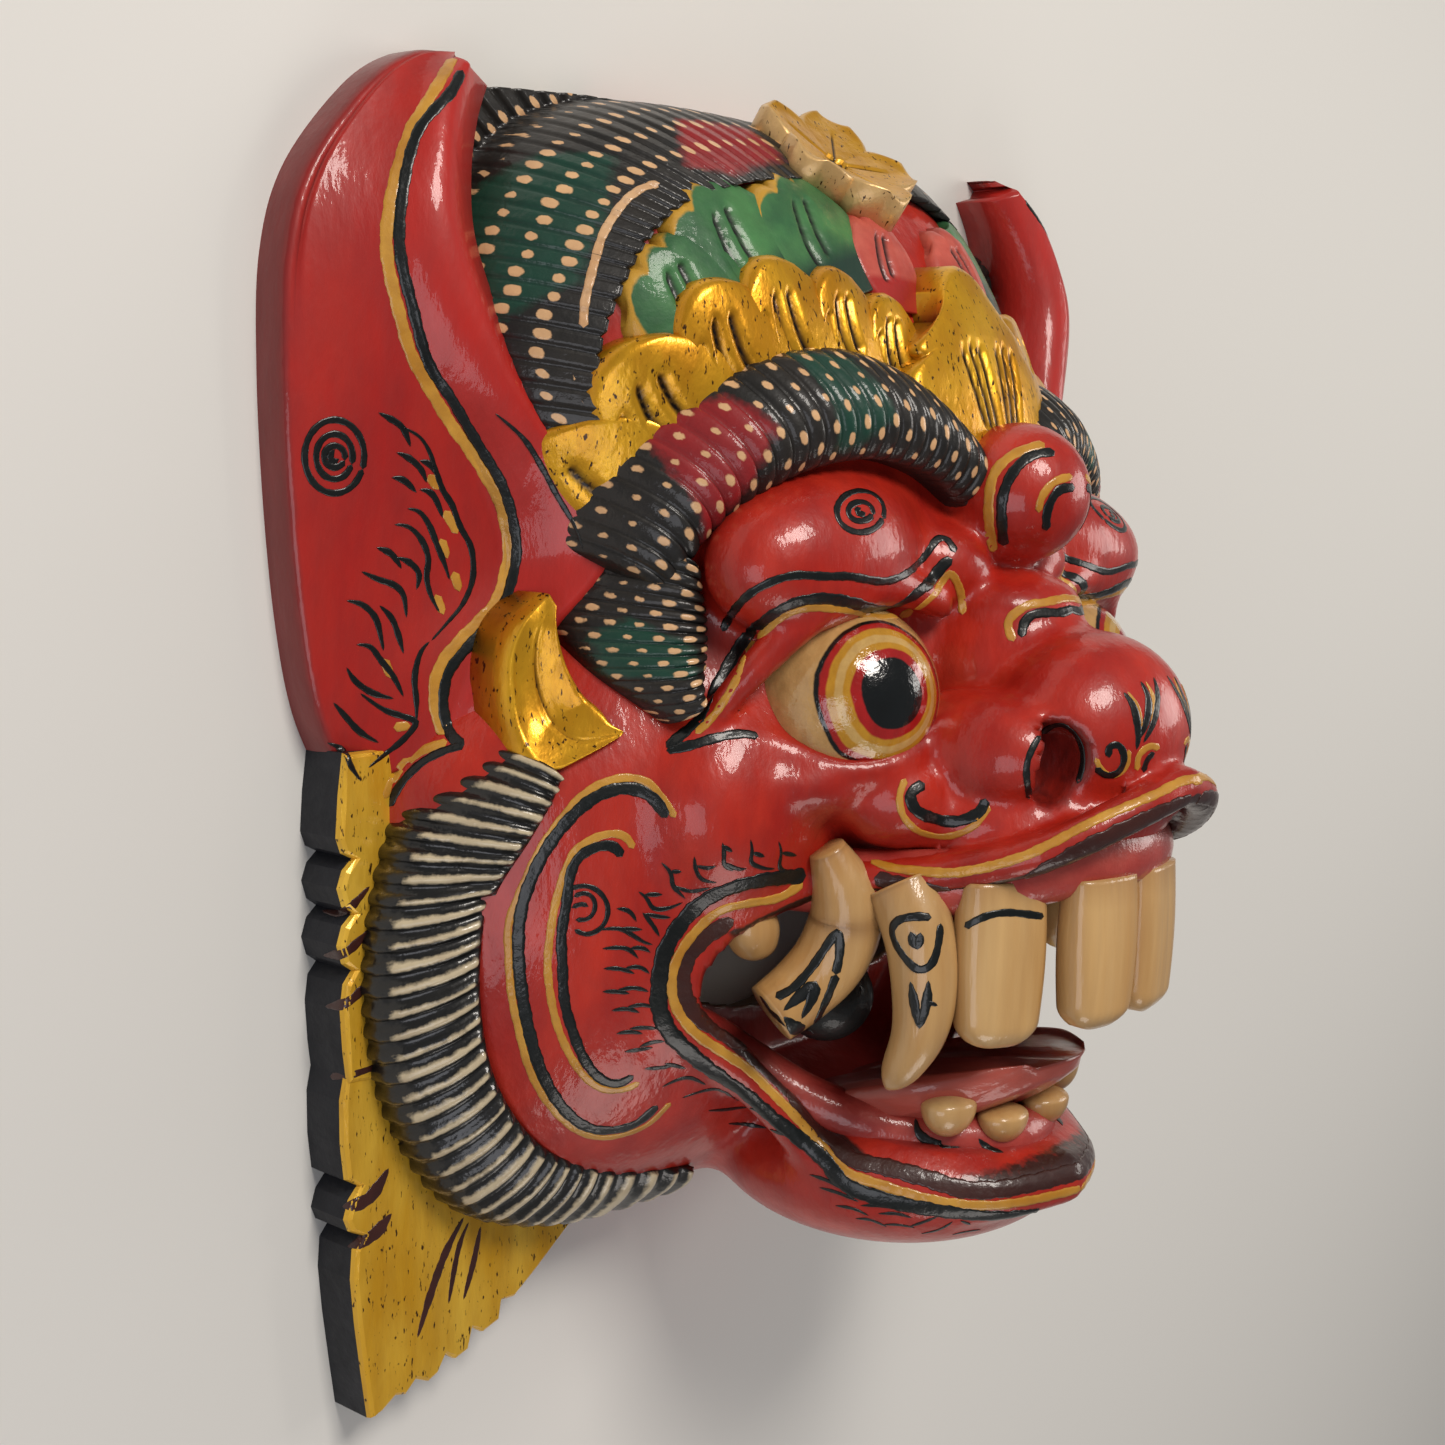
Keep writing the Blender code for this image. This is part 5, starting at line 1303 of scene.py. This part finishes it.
def castPixels(path, ground):
    # runs of surface points under a brush path drawn over the photo
    legs = [math.dist(a, b) for a, b in zip(path[:-1], path[1:])]
    count = max(8, int(sum(legs) / brushing["pixels"]))
    where = np.interp(np.linspace(0.0, sum(legs), count), np.concatenate(([0.0], np.cumsum(legs))),
                      np.linspace(0.0, 1.0, len(path)))
    start = Vector(view["position"])
    runs, run = [], []
    for column, row in curveAt(path, where):
        ray = (Vector(view["forward"]) * photo["focal"] + Vector(view["right"]) * (column - photo["middle"])
               - Vector(view["up"]) * (row - photo["middle"])).normalized()
        spot, normal, _, depth = ground.ray_cast(start, ray)
        seen = spot is not None and spot.x <= brushing["middleReach"]
        if not seen or (run and abs(depth - run[-1][2]) > brushing["jump"]):
            if len(run) > 3:
                runs.append(run)
            run = []
        if seen:
            run.append((spot, -normal if normal.dot(ray) > 0.0 else normal, depth))
    if len(run) > 3:
        runs.append(run)
    return runs


def brushRun(run, width, lift, tapers, ground):
    # one brush stroke over the carving as rings of points, thin at its ends where tapers is set
    spots = np.array([tuple(s) for s, _, _ in run])
    normals = np.array([tuple(n) for _, n, _ in run])
    for _ in range(2):
        spots[1:-1] = 0.5 * spots[1:-1] + 0.25 * (spots[:-2] + spots[2:])
        normals[1:-1] = 0.4 * normals[1:-1] + 0.3 * (normals[:-2] + normals[2:])
    length = np.concatenate(([0.0], np.cumsum(np.linalg.norm(np.diff(spots, axis=0), axis=1))))
    if length[-1] < brushing["shortest"]:
        return None
    count = max(6, int(length[-1] / brushing["step"]))
    at = np.linspace(0.0, length[-1], count)
    spots = np.stack([np.interp(at, length, spots[:, n]) for n in range(3)], axis=1)
    normals = np.stack([np.interp(at, length, normals[:, n]) for n in range(3)], axis=1)
    along = np.gradient(spots, axis=0)
    aside = np.cross(normals, along)
    aside = aside / np.maximum(np.linalg.norm(aside, axis=1), 1e-9)[:, None]
    end = np.minimum(at, length[-1] - at)
    rounded = np.sqrt(np.clip(1.0 - (1.0 - np.minimum(end / (0.5 * width), 1.0)) ** 2, 0.0004, 1.0))
    thin = np.clip(0.30 + 0.70 * np.minimum(end / (0.30 * length[-1]), 1.0), 0.0, 1.0) if tapers else 1.0
    wave = 1.0 + 0.07 * np.sin(at * 830.0 + width * 9000.0) + 0.05 * np.sin(at * 2100.0)
    half = 0.5 * width * rounded * thin * wave
    across = np.linspace(-0.88, 0.88, 2 * max(2, int(width / 0.0014)) + 1)
    profile = [(-1.0, -brushing["sink"])] + [(share, lift) for share in across] + [(1.0, -brushing["sink"])]
    rows = []
    for n in range(count):
        normal = Vector(normals[n]).normalized()
        ring = []
        for share, rise in profile:
            aim = Vector(spots[n] + aside[n] * half[n] * share)
            found, facing, _, gap = ground.find_nearest(aim, 0.006)
            if found is None or gap > brushing["near"]:
                found, facing = aim, normal
            if facing.dot(normal) < 0.25:
                facing = normal
            ring.append(found + facing * rise)
        ring.append(ring[len(ring) // 2] - normal * (lift + brushing["root"]))
        rows.append([tuple(p) for p in ring])
    return np.array(rows)


# These strokes run along the crests of the lips, behind the teeth, and lie a little thicker
crestLines = ("mouthRim", "upperLip")
crestLift = 0.00014
lipReach = 0.018
lipCurve = np.concatenate([curveAt(lips[key], np.linspace(0.0, 1.0, 90)) for key in ("upper", "lower")])


def onLips(run):
    spots = np.array([(abs(s.x), s.y, s.z) for s, _, _ in run])
    gaps = np.linalg.norm(spots[:, None, :] - lipCurve[None, :, :], axis=2).min(axis=1)
    return float(np.median(gaps)) < lipReach


def paintLines(name, strokes, lift, material):
    # all strokes of one colour as one piece a side, where the right one is the left one turned over
    blocks = []
    for key, (width, *paths) in strokes.items():
        tapers = any(word in key for word in ("Hair", "Flame", "Heart", "Mark", "Shade", "Wedge"))
        crest = key in crestLines
        ground = faceSkin if crest else skin
        for run in [run for path in paths for run in castPixels(np.reshape(path, (-1, 2)), ground)]:
            if crest and not onLips(run):
                continue
            wide = brushing["widening"] * width / 1000.0
            rows = brushRun(run, wide, lift + (crestLift if crest else 0.0), tapers, ground)
            if rows is not None:
                blocks.append((rows, key.startswith("ear")))
    for mirror in (False, True):
        points, quads, start = [], [], 0
        for rows, still in blocks:
            flat = rows.reshape(-1, 3)
            if mirror:
                flat = flat * vec(-1, 1, 1)
            if not still:
                flat = settle(flat)
            grid = gridQuads(len(rows), rows.shape[1], start, closed=True)
            points.append(flat)
            quads.append(grid if mirror else grid[:, ::-1])
            start += len(flat)
        label = name + ("Right" if mirror else "Left")
        addPiece(label, buildMesh(label, np.concatenate(points), np.concatenate(quads)), material)


for key, (middle, sizes, width) in coils.items():
    blackLines[key] = [width]
    for n, (half, tall) in enumerate(sizes):
        turns = np.linspace(0.35, 0.35 + 2.0 * math.pi * (1.0 if n < len(sizes) - 1 else 0.7), 15)
        ring = [(middle[0] + half * math.cos(t), middle[1] + tall * math.sin(t)) for t in turns]
        blackLines[key].append(ring)
paintLines("brownLines", brownLines, 0.00010, brownPaint)
paintLines("ochreLines", ochreLines, 0.00014, ochrePaint)
paintLines("creamLines", creamLines, 0.00020, creamLine)
paintLines("blackLines", blackLines, 0.00018, blackPaint)


print("lighting the studio")


def lookFrom(position, right, up, forward):
    # camera placed by its axes, at the photo's view of the mask
    camera = bpy.data.cameras.new("camera")
    camera.sensor_width = 36.0
    camera.lens = 49.23
    camera.clip_start = 0.01
    holder = bpy.data.objects.new("camera", camera)
    bpy.context.scene.collection.objects.link(holder)
    axes = Matrix((Vector(right), Vector(up), -Vector(forward))).transposed().to_4x4()
    axes.translation = Vector(position) - Vector((0.0, originShift, 0.0))
    holder.matrix_world = axes
    bpy.context.scene.camera = holder


lookFrom(**view)


def areaLight(name, position, target, size, power, colour):
    lamp = bpy.data.lights.new(name, "AREA")
    lamp.shape = "RECTANGLE"
    lamp.size, lamp.size_y = size
    lamp.energy = power
    lamp.color = linear(colour)[:3]
    holder = bpy.data.objects.new(name, lamp)
    bpy.context.scene.collection.objects.link(holder)
    holder.location = position
    holder.rotation_euler = (Vector(target) - Vector(position)).to_track_quat("-Z", "Y").to_euler()


# A soft key over the crown gives the glints on brow and lip, and weaker lights keep the mouth and the far side
# readable
areaLight("key", (-0.30, 0.95, 1.10), (0.0, 0.0, 0.08), (0.55, 0.45), 15.5, "#fff8f0")
areaLight("fill", (-1.30, -0.35, 0.75), (0.0, 0.0, 0.06), (0.8, 0.8), 5.0, "#f6f7ff")
areaLight("back", (1.00, 0.25, 0.80), (0.0, 0.0, 0.10), (0.5, 0.6), 4.5, "#fffaf4")
areaLight("low", (-0.10, -1.20, 0.70), (0.0, 0.0, 0.08), (0.6, 0.5), 3.2, "#fff8f2")

world = bpy.data.worlds.new("studio")
bpy.context.scene.world = world
world.use_nodes = True
world.node_tree.nodes["Background"].inputs["Color"].default_value = linear("#d8dade")
world.node_tree.nodes["Background"].inputs["Strength"].default_value = 0.20
bpy.context.scene.view_settings.view_transform = "Standard"


def makeFloor():
    mesh = bpy.data.meshes.new("floor")
    reach = 4.0
    mesh.from_pydata([(-reach, -reach, 0), (reach, -reach, 0), (reach, reach, 0), (-reach, reach, 0)], [],
                     [(0, 1, 2, 3)])
    floor = bpy.data.objects.new("floor", mesh)
    bpy.context.scene.collection.objects.link(floor)
    paper = bpy.data.materials.new("pale studio paper")
    paper.use_nodes = True
    shader = paper.node_tree.nodes["Principled BSDF"]
    shader.inputs["Base Color"].default_value = linear("#d9d7d2")
    shader.inputs["Roughness"].default_value = 0.9
    mesh.materials.append(paper)


makeFloor()
